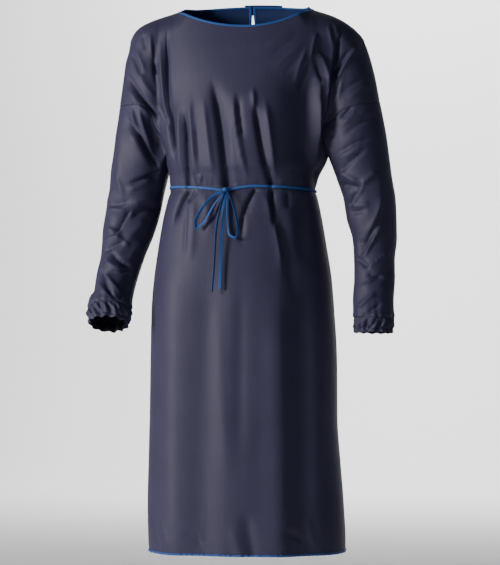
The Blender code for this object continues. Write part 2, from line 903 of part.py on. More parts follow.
def sleeve_ring(side, level, turn):
    """Points round the arm: level is a height for each turn, and turns are in degrees."""
    centre, back, half, depth = sleeve_axis(side, level)
    lower = ease((TILT_START - level) / TILT_RUN)
    lean = np.radians(CUFF_TILT[side]) * lower
    x = centre - side * half * np.cos(np.radians(turn))
    fore = -depth * np.sin(np.radians(turn))
    y = back + fore * np.cos(lean)
    z = level - fore * np.sin(lean)
    return np.stack((x, y, z), axis=-1)


def sleeve_points(side, shares, turns):
    """Rings of a sleeve from the armhole (0) to the cuff (1)."""
    mirrored = np.where(turns > 180, 360 - turns, turns)
    seam = armhole_place(side, mirrored)
    faces = np.where(turns > 180, 1, -1)
    seam_depth = np.where(
        faces < 0,
        body_depth(seam[:, 0], seam[:, 1], "front"),
        body_depth(seam[:, 0], seam[:, 1], "back"),
    )
    _, _, own_depth = arm_section(side, seam[:, 1])
    extra = faces * (seam_depth - own_depth * np.sin(np.radians(mirrored)))
    rows = []
    for share in shares:
        level = seam[:, 1] + (CUFF_START[side] - seam[:, 1]) * share
        ring = sleeve_ring(side, level, turns)
        ring[:, 1] += extra * (1 - ease((seam[:, 1] - level) / SEAM_BLEND))
        rows.append(ring)
    return np.array(rows), seam


def ring_normals(points):
    """Outward directions of a tube of rings."""
    closed = np.concatenate((points[:, -1:], points, points[:, :1]), axis=1)
    round_way = (closed[:, 2:] - closed[:, :-2])
    down = np.gradient(points, axis=0)
    normals = unit(np.cross(round_way, down))
    centre = points.mean(axis=1, keepdims=True)
    middle_ring = len(points) // 2
    sign = np.sum(normals[middle_ring] * (points - centre)[middle_ring])
    return normals if sign > 0 else -normals


def fold_sleeve(points, seam, turns, side):
    """Adds the folds to a sleeve, level with those of the panels at the armhole."""
    normals = ring_normals(points)
    mirrored = np.where(turns > 180, 360 - turns, turns)
    front = body_normal(seam[:, 0], seam[:, 1], "front")
    back = body_normal(seam[:, 0], seam[:, 1], "back")
    at_seam = np.where((turns > 180)[:, None], back, front)
    below = seam[:, 1][None] - points[..., 2]
    share = ease(below / FOLD_BLEND)[..., None]
    normals = unit(at_seam[None] * (1 - share) + normals * share)
    x, z = points[..., 0], points[..., 2]
    front_height = fold_height(FOLDS["front"], x, z)
    back_height = fold_height(FOLDS["back"], x, z)
    height = np.where(turns > 180, back_height, front_height)
    _, back_set, _, _ = sleeve_axis(side, z)
    fade = ease(np.abs(points[..., 1] - back_set) / FOLD_FADE)
    fade[0] = ease(np.abs(points[0, :, 1]) / FOLD_FADE)
    return points + normals * (height * fade)[..., None]


def wing_ring(grids, side, turns):
    """The armhole edge of the panels, at the sleeve's turns."""
    ring = np.zeros((len(turns), 3))
    for face, wanted in (("front", turns <= 180), ("back", turns > 180)):
        mirrored = np.where(turns > 180, 360 - turns, turns)[wanted]
        place = armhole_place(side, mirrored)
        points, _ = body_points(place[:, 0], place[:, 1], face)
        ring[wanted] = points
    return ring


def sleeve_turn_list():
    """Turns round the sleeve that match the panels' columns at the armhole."""
    front = arm_turns()
    back = 360 - front[1:-1][::-1]
    return np.concatenate((front, back))


def build_sleeves(grids, material):
    """Sleeves and their gathered cuffs."""
    for side, name in ((-1, "right"), (1, "left")):
        turns = sleeve_turn_list()
        shares = np.linspace(0, 1, SLEEVE_ROWS + 1) ** SLEEVE_SPACING
        shares = np.insert(shares, (1, -1), (SLEEVE_RIM, 1 - SLEEVE_RIM))
        points, seam = sleeve_points(side, shares, turns)
        points = fold_sleeve(points, seam, turns, side)
        points[0] = wing_ring(grids, side, turns)
        middle_seam = (turns % 180) < 0.01
        points[0, middle_seam, 1] = 0
        pull_ring(points, SEAM_GAP / 2)
        mesh = bmesh.new()
        add_ring_grid(mesh, points)
        make_object(f"sleeve_{name}", mesh, material, WALL)
        build_cuff(side, name, material)


def pull_ring(points, distance):
    """Moves the first ring of a tube inward along the cloth."""
    first = points[0]
    run = unit(np.roll(first, -1, axis=0) - np.roll(first, 1, axis=0))
    toward = points[1] - first
    toward = unit(toward - run * np.sum(toward * run, axis=-1, keepdims=True))
    points[0] = first + toward * distance


def build_cuff(side, name, material):
    """Gathered cuff: a short tube whose waves stand in and out round the elastic."""
    count = CUFF_WAVES * CUFF_WAVE_POINTS
    turns = np.arange(count) * 360 / count
    wave = np.cos(np.radians(turns) * CUFF_WAVES)
    rows = []
    top = CUFF_START[side] - SEAM_GAP
    for share in CUFF_ROWS:
        level = top + (CUFF_END[side] - top) * share
        ring = sleeve_ring(side, np.full(count, level), turns)
        centre = ring.mean(axis=0)
        gather = CUFF_GATHER * ease(share / GATHER_FULL)
        ring = ring + unit(ring - centre) * (wave * gather)[:, None]
        rows.append(ring)
    points = np.array(rows)
    mesh = bmesh.new()
    add_ring_grid(mesh, points)
    make_object(f"cuff_{name}", mesh, material, WALL)


# Waist tape


def cloth_line(grids, row):
    """One row of the body all round, as points, from the front middle to the wearer's left."""
    front_left = grids["front", 1][0][row]
    back_left = grids["back", 1][0][row][::-1]
    back_right = grids["back", -1][0][row]
    front_right = grids["front", -1][0][row][::-1]
    return np.concatenate((front_left, back_left[1:], back_right, front_right[1:-1]))


def build_belt(grids, material):
    """Tape round the waist, made from the cloth's own points and moved out."""
    low = cloth_line(grids, BELT_ROW)
    high = cloth_line(grids, BELT_ROW + 1)
    points = np.stack((low, high))
    run = np.roll(points, -1, axis=1) - np.roll(points, 1, axis=1)
    up = points[1] - points[0]
    normal = unit(np.cross(run[0], up))
    if np.sum(normal[0] * np.array((0, -1, 0))) < 0:
        normal = -normal
    points = points + normal[None] * (TAPE_LIFT + TAPE_WALL)
    mesh = bmesh.new()
    add_ring_grid(mesh, points)
    return make_object("belt", mesh, material, TAPE_WALL)


def hung_line(table, count):
    """Smooth line in front of the skirt, from a table of places and clearances."""
    route = named(table)
    steps = np.arange(len(route["x"]), dtype=float)
    at = np.linspace(0, steps[-1], count)
    x = smooth(steps, route["x"], at)
    z = smooth(steps, route["z"], at)
    clear = smooth(steps, route["clear"], at)
    depth = body_depth(x, z, "front")
    height = np.maximum(fold_height(FOLDS["front"], x, z), 0)
    return np.stack((x, -(depth + height + clear), z), axis=-1)


def ribbon(name, line, across, material):
    """Flat tape along a line, with its width in the given directions."""
    half = 0.5 * TAPE_WIDTH
    along = unit(np.gradient(line, axis=0))
    across = unit(across - along * np.sum(across * along, axis=-1, keepdims=True))
    points = np.stack((line - across * half, line + across * half))
    mesh = bmesh.new()
    add_grid(mesh, points, False)
    return make_object(name, mesh, material, TAPE_WALL, shift=0)


def build_knot(place, material):
    """Rounded knot in front of the waist tape."""
    bpy.ops.mesh.primitive_uv_sphere_add(segments=14, ring_count=8, radius=MM)
    knot = bpy.context.object
    knot.name = "belt_knot"
    knot.data.name = "belt_knot"
    for vertex in knot.data.vertices:
        for i in range(3):
            vertex.co[i] = vertex.co[i] * KNOT_RADII[i] + place[i] * MM
    knot.data.materials.append(make_material("belt_knot", material))
    knot.data.shade_smooth()
    for collection in knot.users_collection:
        collection.objects.unlink(knot)
    parts.objects.link(knot)


def build_tab(material):
    """Tab that closes the neck across the opening, made from the back panels' points."""
    x = np.linspace(TAB_START, TAB_END, TAB_COLUMNS)
    neck_z = np.zeros_like(x)
    for side, here in ((-1, x < BACK_CENTRE), (1, x >= BACK_CENTRE)):
        start = slit_edge(side, np.array(BACK_NECK_Z))
        share = np.clip((x - start) / (side * NECK_CORNER[side] - start), 0, 1)
        _, edge_z = neck_edge(side, "back", share)
        neck_z = np.where(here, edge_z, neck_z)
    line, line_normals = body_points(x, neck_z, "back")
    up = band_directions(line, line_normals)
    up = np.where(up[:, 2:] < 0, -up, up)
    rows = []
    for below in TAB_BELOW:
        points, normals = body_points(x, neck_z - below, "back")
        rows.append(points + normals * (TAB_LIFT + TAB_WALL))
    for above in TAB_ABOVE:
        rows.append(line + up * above + line_normals * (TAB_LIFT + TAB_WALL))
    mesh = bmesh.new()
    add_grid(mesh, np.array(rows), True)
    make_object("neck_tab", mesh, material, TAB_WALL)


def build_bow(material):
    """Loops, knot and free ends of the tape."""
    for name, table in (("bow_loop_right", LOOP_RIGHT), ("bow_loop_left", LOOP_LEFT)):
        line = hung_line(table, 22)
        across = np.tile(np.array((0.0, 1.0, 0.25)), (len(line), 1))
        ribbon(name, line, across, material)
    x, z = KNOT_PLACE
    depth = float(body_depth(np.array([float(x)]), np.array([float(z)]), "front")[0])
    away = depth + TAPE_LIFT + TAPE_WALL + SEAM_GAP + KNOT_RADII[1]
    build_knot((x, -away, z), material)
    flat = hung_line(TIE_FLAT, 20)
    ribbon("tie_end_flat", flat, np.tile(np.array((1.0, 0.15, 0.0)), (len(flat), 1)), material)
    narrow = hung_line(TIE_NARROW, 20)
    turned = np.stack((np.linspace(0.5, 0.35, 20), np.full(20, 1.0), np.zeros(20)), axis=-1)
    ribbon("tie_end_narrow", narrow, turned, material)


for item in list(bpy.data.objects):
    bpy.data.objects.remove(item, do_unlink=True)
parts = bpy.data.collections.new("protective_smock")
bpy.context.scene.collection.children.link(parts)

panels = all_panels()
build_body(panels, COATED_CLOTH)
build_sleeves(panels, COATED_CLOTH)
neck_trim(panels, BIAS_BINDING)
edge_trim(panels, BIAS_BINDING)
hem_trim(panels, BIAS_BINDING)
build_tab(COATED_CLOTH)
build_belt(panels, WOVEN_TAPE)
build_bow(WOVEN_TAPE)
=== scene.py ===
"""Looks of the protective smock: coated cloth, bound edges, gathered cuffs and a tied tape.

The smock is worn and hollow. Each panel and sleeve is a thin shell on the form that its
solid has: a front view inflated to a depth at each place (x, z). The wearer faces -Y and
the wearer's right arm is at -X. Sizes here are in millimetres, and MM turns them to metres.
"""
import math

import bmesh
import bpy
import numpy as np
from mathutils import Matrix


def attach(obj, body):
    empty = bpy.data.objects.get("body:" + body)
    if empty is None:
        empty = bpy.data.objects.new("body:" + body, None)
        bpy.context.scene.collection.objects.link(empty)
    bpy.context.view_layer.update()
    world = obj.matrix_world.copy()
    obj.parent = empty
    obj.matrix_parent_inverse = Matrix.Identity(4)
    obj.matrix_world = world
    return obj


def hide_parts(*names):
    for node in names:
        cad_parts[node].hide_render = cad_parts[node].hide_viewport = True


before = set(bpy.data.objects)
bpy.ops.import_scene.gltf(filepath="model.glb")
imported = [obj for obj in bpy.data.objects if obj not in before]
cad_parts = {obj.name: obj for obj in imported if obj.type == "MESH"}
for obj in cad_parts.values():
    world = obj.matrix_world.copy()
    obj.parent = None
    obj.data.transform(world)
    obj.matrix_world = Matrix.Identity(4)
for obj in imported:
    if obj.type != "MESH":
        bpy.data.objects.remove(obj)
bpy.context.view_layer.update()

MM = 0.001
TINY = 1e-9

# Cloth and its stitches
CLOTH_WALL = 0.6
TAB_WALL = 1.0
THREAD_WIDTH = 0.45
STITCH_LENGTH = 2.4
STITCH_STEP = 3.4
STITCH_LIFT = 0.1
SEAM_STITCH_ROW = 7
WELD_DISTANCE = 0.00001

# Bindings and tape: flat strips that ripple a little, in and out
SECTION_POINTS = 14
RIPPLE_STEP = 8.5
BINDING_WIDTH = 4.8
BINDING_THICK = 2.0
BINDING_RIPPLE = 0.3

# Hem binding: the cloth ends under it, and its stitches lie in from its upper edge
HEM_TUCK = 1
HEM_POINTS = 299
HEM_BAND_STEP = 2.2
HEM_RIPPLE = 0.35
HEM_SEED = {"front": 2.0, "back": 4.0}
HEM_STITCH_INSET = 1.2

# Bindings of the centre-back opening
SLIT_BINDING_WIDTH = 6.2
SLIT_POINTS = 560
SLIT_STITCH_INSET = 2.1
SLIT_STITCH_SINK = 0.25

# Neck binding: from NECK_TURN, a share of the edge, it turns to lie along the shoulder ridge
NECK_MIDDLE = (0, 0, 60)
NECK_TURN = 0.86
NECK_POINTS = 90
NECK_BAND_STEP = 2.0
NECK_GAP = 0.45
NECK_OVERLAP = 0.8
NECK_STITCH_INSET = 0.6
NECK_STITCH_SINK = 0.05

# Tape round the waist, and the ribbons of its bow, a little wider where they lie flat
TAPE_WIDTH = 5.4
TAPE_THICK = 1.2
TAPE_RIPPLE = 0.1
TAPE_POINTS = 419
TAPE_STEP = 2.0
RIBBON_WIDTH = 6.4
RIBBON_RIPPLE = 0.15
RIBBON_STEP = 1.6

# Torso: its edges from the front, and its depth in front and behind
ROUNDNESS = 0.85
DRAPE_BLEND = 0.35
HEM_Z = -1178
CHEST_Z = -330
WAIST_Z = -391
TORSO = (
    "z      right_edge  left_edge  front  back",
    (-1178, -213, 215, 156, 157),
    (-1156, -215, 215, 156, 157),
    (-1069, -217, 211, 154, 156),
    (-981, -215, 204, 151, 155),
    (-893, -213, 198, 149, 154),
    (-762, -211, 197, 147, 152),
    (-653, -209, 191, 144, 148),
    (-587, -204, 186, 140, 141),
    (-521, -195, 176, 134, 133),
    (-455, -184, 165, 127, 122),
    (-420, -176, 158, 122, 114),
    (-388, -169, 152, 117, 107),
    (-360, -170, 158, 124, 109),
    (-345, -173, 166, 131, 112),
    (-330, -178, 174, 133, 114),
    (-313, -184, 180, 134, 116),
    (-280, -190, 191, 134, 119),
    (-240, -193, 199, 134, 122),
    (-150, -195, 210, 124, 122),
    (-100, -195, 213, 113, 114),
    (-50, -195, 215, 98, 101),
    (0, -195, 215, 82, 84),
    (25, -195, 215, 74, 76),
)

# Arms: inner and outer edge from the front, half depth, and how far the arm is set back
RIGHT_ARM = (
    "z     inner  outer  depth  set_back",
    (-690, -248, -331, 42, -98),
    (-672, -244, -336, 45, -90),
    (-652, -243, -338, 46, -80),
    (-634, -243, -338, 46, -70),
    (-618, -242, -329, 45, -60),
    (-580, -236, -327, 48, -40),
    (-535, -225, -321, 52, -18),
    (-480, -205, -320, 59, -2),
    (-433, -192, -314, 64, 4),
    (-390, -184, -306, 67, 3),
    (-345, -173, -302, 69, 0),
    (-300, -162, -295, 70, 0),
    (-250, -158, -288, 70, 0),
    (-193, -154, -281, 69, 0),
    (-149, -150, -275, 67, 0),
    (-105, -146, -269, 64, 0),
    (-83, -143, -263, 62, 0),
    (-57, -140, -260, 60, 0),
    (25, -140, -260, 58, 0),
)
LEFT_ARM = (
    "z     inner  outer  depth  set_back",
    (-710, 239, 322, 42, -51),
    (-690, 239, 322, 42, -52),
    (-672, 238, 325, 43, -49),
    (-631, 235, 324, 45, -38),
    (-587, 237, 326, 46, -26),
    (-543, 236, 325, 49, -14),
    (-499, 232, 329, 55, -3),
    (-455, 219, 328, 62, 3),
    (-412, 212, 326, 66, 5),
    (-368, 198, 319, 68, 3),
    (-313, 180, 312, 69, 0),
    (-270, 172, 306, 70, 0),
    (-236, 168, 300, 70, 0),
    (-193, 166, 291, 69, 0),
    (-149, 162, 283, 67, 0),
    (-105, 156, 272, 64, 0),
    (-83, 152, 265, 62, 0),
    (-61, 148, 258, 60, 0),
    (25, 148, 257, 58, 0),
)

# Shoulder ridge: its height outward from the neck
RIDGE_ROUNDING = 50
RIGHT_RIDGE = (
    "out  z",
    (80, 60), (120, 30), (142, 8), (152, 4), (175, -3),
    (209, -14), (233, -25), (247, -36), (254, -46), (260, -57),
)
LEFT_RIDGE = (
    "out  z",
    (80, 60), (120, 30), (142, 6), (152, 3), (190, -10),
    (212, -21), (228, -32), (241, -43), (250, -54), (257, -64),
)
NECK_CORNER = {-1: 152, 1: 150}
FRONT_NECK_Z = -43
BACK_NECK_Z = 21.5
NECK_CURVE = {"front": 0.85, "back": 0.6}

# Seam of the dropped armhole: its height round the arm, 0 at the underarm, 180 outside
RIGHT_ARMHOLE = (
    "turn  z",
    (0, -345), (20, -336), (40, -306), (60, -256),
    (80, -215), (110, -203), (150, -204), (180, -208),
)
LEFT_ARMHOLE = (
    "turn  z",
    (0, -313), (20, -300), (40, -262), (60, -233),
    (90, -217), (130, -206), (180, -195),
)

# Drape line between body and arm, from the underarm to the shoulder ridge
RIGHT_DRAPE = (
    "z     across",
    (-345, -173), (-330, -169), (-300, -166), (-250, -170), (-130, -181), (-4, -176),
)
LEFT_DRAPE = (
    "z     across",
    (-313, 180), (-300, 176), (-270, 173), (-236, 176), (-180, 185), (-100, 201), (-20, 210),
)

# Centre-back opening: width of the gap between the bound edges
BACK_CENTRE = 3
OPENING = (
    "z     gap",
    (-1178, 13), (-800, 9), (-500, 5), (-388, 3), (-300, 6),
    (-150, 9), (-20, 7), (10, 3), (25, 2.5),
)

# Folds, seen from the front or from behind: a line from start to end that bows sideways,
# with its half width, how far it leans to one side, how soft its crest is, and its height
# (troughs are below nothing)
FRONT_FOLDS = (
    "x_start  z_start  x_end  z_end  bow  width  lean  soft  height",
    # Chest to waist
    (-122, -215, -120, -393, -2, 4.5, -0.3, 1.05, -14),
    (-134, -192, -129, -386, 3, 6, 0, 1.7, 5),
    (-110, -186, -92, -380, 3, 9, 0.4, 1.6, 5.5),
    (-106, -356, -88, -393, 0, 3.5, 0, 1.05, -7),
    (-84, -360, -92, -390, 0, 4, 0.3, 1.3, 4),
    (-95, -250, -88, -340, 0, 4, 0, 1.4, -2.5),
    (-63, -152, -30, -393, -5, 12, -0.45, 1.35, -16),
    (-80, -186, -56, -380, 0, 8, 0.3, 1.6, 5),
    (-14, -178, 20, -388, 5, 6, 0.4, 1.3, 6),
    (-4, -186, 8, -300, 3, 6, -0.2, 1.3, -7),
    (-22, -230, -12, -392, 0, 9, 0, 1.6, 3),
    (29, -178, 34, -232, 0, 4, 0.2, 1.15, 6),
    (31, -196, 67, -393, 5, 6, -0.45, 1.05, -14),
    (54, -196, 77, -380, -2, 7, 0.2, 1.5, 7),
    (148, -112, 150, -394, -3, 38, 0.55, 1.9, -27),
    (169, -118, 161, -388, -5, 4.5, 0.2, 1.2, 6),
    # Waist to hip
    (-118, -393, -150, -468, 3, 5, -0.4, 1.05, -15),
    (-119, -420, -123, -545, -2, 4, 0.3, 1.3, -4),
    (-103, -398, -108, -560, -3, 12, 0.3, 1.7, 3.5),
    (-95, -394, -117, -424, 2, 3.5, 0, 1.05, -8),
    (-84, -394, -62, -500, -4, 9, 0, 1.8, 2),
    (-40, -396, -62, -470, 4, 9, -0.2, 1.4, -6),
    (33, -393, 4, -520, 12, 4.5, -0.5, 1.05, -11),
    (48, -394, 92, -590, -8, 6, 0.3, 1.15, 6),
    (67, -393, 74, -480, 2, 4.5, -0.4, 1.05, -14),
    (76, -420, 118, -640, -5, 14, 0, 1.7, -5),
    (100, -396, 104, -440, 0, 7, 0, 1.3, -4),
    (132, -396, 140, -560, 4, 16, 0, 2, -6),
    # Skirt
    (-150, -470, -146, -1195, 0, 28, 0, 2, 6),
    (-62, -470, -78, -1195, 4, 36, 0, 2, -8.5),
    (-46, -600, -20, -1040, 6, 14, 0, 1.9, 2),
    (7, -560, 4, -1000, 3, 14, 0, 1.9, -3),
    (78, -560, 88, -1195, -4, 24, 0.2, 2, 6.5),
    (138, -450, 146, -1195, 6, 30, 0, 2, -9.5),
    (160, -600, 166, -1160, 0, 16, 0, 2, 3.5),
    (14, -1080, 36, -1195, 0, 13, 0, 1.7, -5),
    (-14, -1110, 12, -1195, 0, 10, 0, 1.7, 3),
    (84, -1128, 142, -1150, -9, 6, 0, 1.3, -5),
    (88, -1118, 138, -1138, -9, 6, 0, 1.4, 3),
    (-204, -1096, -168, -1172, -8, 5, 0, 1.3, -3.5),
    (-192, -1080, -150, -1176, -8, 6, 0, 1.4, 3),
    (-134, -1128, -76, -1160, -9, 5, 0, 1.3, -2.5),
    (-128, -1118, -70, -1148, -9, 6, 0, 1.4, 1.8),
    (150, -1090, 166, -1160, 5, 7, 0, 1.5, 3),
    # Right shoulder
    (-168, -30, -146, -338, 9, 4, -0.3, 1.05, -12),
    (-158, -196, -147, -338, 3, 6, 0, 1.25, -11),
    (-184, -50, -156, -300, 3, 6, 0.2, 1.5, 6),
    (-156, -40, -150, -200, 3, 9, 0, 1.8, 2.5),
    (-196, -62, -190, -170, 3, 4, 0, 1.3, -4.5),
    (-205, -44, -196, -112, 2, 5, 0.3, 1.3, 4.5),
    (-224, -46, -214, -88, 0, 5, 0, 1.4, -3.5),
    (-194, -112, -190, -142, 0, 3, 0, 1.05, -6),
    (-254, -84, -222, -146, -2, 3.2, 0.3, 1.05, -9),
    (-244, -76, -214, -140, -2, 5, 0, 1.4, 4),
    (-266, -124, -170, -246, 5, 4, 0.4, 1.05, -12),
    (-262, -158, -196, -240, 3, 9, 0, 1.6, 5),
    (-238, -118, -190, -196, 4, 7, 0, 1.6, 4),
    (-186, -190, -160, -262, 0, 4, 0, 1.1, -8),
    # Left shoulder
    (214, -34, 184, -318, 3, 3.4, 0.3, 1.05, -13),
    (187, -218, 182, -318, 0, 6, 0, 1.2, -11),
    (203, -50, 178, -262, 3, 6, 0, 1.4, 5),
    (184, -34, 196, -90, 0, 3.5, 0, 1.15, 4),
    (196, -30, 208, -70, 0, 3.5, 0, 1.15, 3.5),
    (190, -34, 202, -84, 0, 3, 0, 1.15, -3),
    (164, -50, 150, -118, 3, 4, 0.4, 1.15, 5),
    (158, -92, 184, -180, -11, 4, 0.3, 1.1, 8),
    (154, -112, 172, -176, -6, 4, 0, 1.15, -8),
    (160, -150, 184, -168, 0, 3.5, 0.4, 1.15, 6),
    (150, -118, 128, -184, -2, 5, 0.2, 1.15, -8),
    (144, -84, 120, -172, 4, 5, 0, 1.4, 3.5),
    (178, -176, 184, -300, 0, 5, 0, 1.2, -7),
    (170, -186, 170, -300, 0, 5, 0, 1.3, 6),
    (252, -76, 194, -180, 4, 4, -0.5, 1.05, 8),
    (238, -84, 188, -166, 4, 5, 0, 1.2, -6),
    (270, -146, 206, -190, 0, 5, 0.3, 1.2, -4.5),
    (280, -164, 224, -200, 0, 5, 0, 1.3, 3.5),
    (218, -150, 204, -206, 0, 4, 0, 1.2, 4.5),
    (114, -50, 52, -88, 0, 4, 0, 1.5, 1.6),
    (130, -58, 58, -112, 0, 4, 0, 1.4, -2),
    (136, -76, 70, -140, 0, 5, 0, 1.5, 1.8),
    (142, -94, 92, -150, 0, 4, 0, 1.4, -1.8),
    (174, -250, 198, -258, 0, 3, 0, 1.2, -4),
    (174, -270, 198, -282, 0, 3, 0, 1.2, -4.5),
    (172, -290, 196, -306, 0, 3, 0, 1.2, -4),
    # Right sleeve
    (-264, -222, -184, -350, -5, 5, 0.5, 1.05, -13),
    (-258, -250, -204, -350, -4, 12, 0.5, 1.6, 5),
    (-246, -206, -222, -300, 2, 8, 0.5, 1.5, 6),
    (-206, -212, -172, -340, 4, 13, 0.3, 1.4, -13),
    (-229, -206, -200, -300, 3, 5, 0.4, 1.2, 6),
    (-276, -222, -272, -404, 0, 14, 0, 1.8, 4),
    (-262, -380, -176, -342, 3, 5, 0.6, 1.05, -11),
    (-258, -396, -196, -366, 0, 9, -0.4, 1.5, 6),
    (-280, -350, -262, -410, 0, 6, 0.4, 1.3, 4),
    (-300, -426, -244, -414, 2, 4, -0.5, 1.05, -7),
    (-292, -384, -306, -426, 0, 7, 0, 1.4, 4),
    (-308, -430, -248, -442, -3, 9, 0.6, 1.2, 8),
    (-244, -434, -284, -496, 4, 6, 0.7, 1.05, -13),
    (-184, -428, -250, -454, 5, 8, 0.3, 1.2, -10),
    (-190, -408, -250, -424, 3, 8, 0, 1.5, 5),
    (-214, -452, -262, -506, 0, 11, 0, 1.5, 5),
    (-306, -468, -262, -486, 3, 5, 0.5, 1.1, 6),
    (-284, -486, -248, -514, 0, 5, 0.5, 1.1, 7),
    (-312, -526, -252, -500, -2, 4.5, 0.4, 1.05, -9),
    (-314, -506, -268, -488, 0, 7, 0, 1.3, 5),
    (-294, -522, -240, -562, 3, 5, 0.5, 1.05, -10),
    (-306, -542, -258, -572, 2, 7, -0.5, 1.25, 7),
    (-224, -496, -254, -548, 0, 8, 0, 1.5, 4),
    (-306, -572, -234, -560, 3, 4.5, 0.4, 1.05, -8),
    (-317, -552, -268, -632, 4, 5, 0.6, 1.05, -11),
    (-318, -590, -278, -630, 0, 7, 0, 1.3, 6),
    (-298, -572, -256, -622, 2, 7, 0.4, 1.3, 6),
    (-244, -566, -262, -640, 0, 6, 0.3, 1.3, -6),
    (-232, -560, -246, -622, 0, 6, 0, 1.4, 4),
    # Left sleeve
    (298, -232, 214, -282, 4, 5, 0.3, 1.15, -4.5),
    (286, -222, 206, -262, 4, 7, 0, 1.5, 3.5),
    (292, -276, 196, -322, 3, 4, 0.4, 1.05, -7),
    (262, -300, 208, -330, 0, 6, 0, 1.3, 4),
    (272, -306, 200, -366, 2, 4, 0.4, 1.05, -8),
    (240, -212, 208, -244, 0, 4, 0, 1.15, -6),
    (248, -222, 216, -256, 0, 5, 0, 1.3, 3.5),
    (200, -346, 254, -380, 3, 4, 0, 1.05, 8),
    (206, -378, 258, -390, 3, 5, 0.3, 1.05, -12),
    (252, -388, 292, -352, 0, 5, -0.3, 1.1, 7),
    (264, -384, 232, -438, 3, 4, 0.4, 1.05, 8),
    (252, -394, 222, -436, 3, 5, 0, 1.05, -12),
    (226, -444, 270, -438, 0, 3.5, 0, 1.05, -8),
    (232, -431, 276, -426, 0, 4, 0, 1.15, 5),
    (298, -404, 262, -500, -7, 5, 0.3, 1.2, 7),
    (304, -462, 258, -548, 0, 4, 0.4, 1.05, 8),
    (288, -470, 246, -540, 0, 5, 0, 1.15, -8),
    (244, -512, 282, -504, 0, 3.5, 0, 1.05, -7),
    (238, -538, 276, -566, 0, 4, 0, 1.05, -9),
    (262, -566, 318, -528, 0, 4, 0.3, 1.05, 7),
    (264, -574, 306, -588, 0, 4, 0, 1.05, -6),
    (270, -600, 326, -566, -3, 5, 0, 1.2, -5),
    (244, -606, 314, -590, 3, 7, 0, 1.6, 3),
    (246, -654, 290, -614, 0, 5, 0, 1.2, 6),
    (258, -670, 304, -636, 0, 5, 0, 1.2, -6),
    (300, -325, 300, -455, 4, 12, 0, 1.8, 3),
)
BACK_FOLDS = (
    "x_start  z_start  x_end  z_end  bow  width  lean  soft  height",
    # Shoulder blades to waist
    (-120, -170, -112, -392, -4, 14, 0.2, 1.6, -8),
    (-98, -190, -92, -386, 3, 11, 0, 1.9, 3.5),
    (-68, -186, -56, -394, 3, 12, -0.3, 1.6, -7),
    (-36, -210, -34, -388, 2, 10, 0, 2, 3),
    (34, -205, 36, -388, -3, 10, 0, 2, 3.5),
    (54, -182, 62, -394, -3, 13, 0.3, 1.6, -8),
    (82, -200, 88, -388, 2, 11, 0, 1.9, 4),
    (106, -160, 112, -392, 4, 14, -0.2, 1.6, -7),
    (140, -190, 140, -388, -3, 9, 0, 1.8, 3.5),
    (-150, -180, -146, -388, -3, 9, 0, 1.8, 3),
    # Waist to hip
    (-140, -394, -158, -550, 4, 12, 0.2, 1.6, -7),
    (-112, -394, -124, -590, 3, 12, 0, 1.9, 3.5),
    (-82, -394, -98, -600, -5, 13, 0, 1.6, -7),
    (-52, -394, -48, -520, 3, 9, 0, 1.8, 3),
    (44, -394, 58, -580, 5, 12, 0, 1.6, -7),
    (72, -394, 84, -540, -3, 10, 0, 1.9, 3),
    (96, -394, 114, -640, -4, 14, 0, 1.6, -7),
    (136, -394, 156, -520, 3, 10, 0, 1.8, -4),
    # Skirt
    (-128, -540, -134, -1195, 8, 27, 0, 2, 7),
    (-70, -600, -66, -1195, -7, 24, 0.2, 1.9, -7),
    (-30, -700, -34, -1195, 4, 15, 0, 2, 3.5),
    (40, -760, 36, -1195, -4, 15, 0, 2, -3),
    (62, -580, 74, -1195, 6, 24, 0, 2, 7),
    (132, -540, 138, -1195, -8, 25, 0, 1.9, -7),
    (176, -600, 172, -1160, 5, 15, 0, 2, 3.5),
    (-176, -560, -178, -1160, -5, 15, 0, 2, -3.5),
    (-120, -1156, -84, -1142, 4, 6, 0, 1.8, 2),
    (58, -1150, 92, -1160, -4, 6, 0, 1.8, -2),
    # Shoulders
    (-178, -38, -160, -330, 9, 9, 0, 1.5, -7),
    (-196, -50, -188, -210, 4, 9, 0, 1.9, 3.5),
    (-262, -110, -190, -220, 6, 11, 0, 1.5, -7),
    (-246, -84, -214, -150, 3, 8, 0, 1.6, -4),
    (-150, -60, -128, -150, -4, 10, 0, 1.9, -3.5),
    (206, -44, 188, -300, -6, 9, 0, 1.5, -7),
    (224, -60, 204, -180, -4, 9, 0, 1.9, 3.5),
    (264, -105, 200, -210, -6, 11, 0, 1.5, -7),
    (242, -80, 222, -140, -3, 8, 0, 1.6, -4),
    (158, -60, 136, -160, 4, 10, 0, 1.9, -3.5),
    # Right sleeve
    (-266, -232, -204, -346, -5, 12, 0, 1.5, -7),
    (-246, -222, -196, -300, -3, 10, 0, 1.9, 3.5),
    (-302, -404, -216, -452, -8, 12, 0, 1.5, -6),
    (-298, -382, -230, -414, -4, 10, 0, 1.9, 3),
    (-310, -466, -228, -488, 6, 11, 0, 1.6, -5),
    (-316, -512, -240, -530, -4, 10, 0, 1.7, -4),
    (-318, -560, -250, -590, 4, 9, 0, 1.6, -4.5),
    (-262, -262, -264, -404, 8, 14, 0, 2, 4),
    # Left sleeve
    (286, -224, 222, -326, 6, 12, 0, 1.5, -7),
    (262, -220, 214, -290, 3, 10, 0, 1.9, 3.5),
    (224, -418, 310, -442, 8, 12, 0, 1.5, -6),
    (232, -392, 300, -408, 4, 10, 0, 1.9, 3),
    (236, -476, 316, -494, -6, 11, 0, 1.6, -5),
    (244, -520, 318, -536, 4, 10, 0, 1.7, -4),
    (246, -572, 316, -596, -4, 9, 0, 1.6, -4.5),
    (264, -258, 286, -384, -8, 14, 0, 2, 4),
)
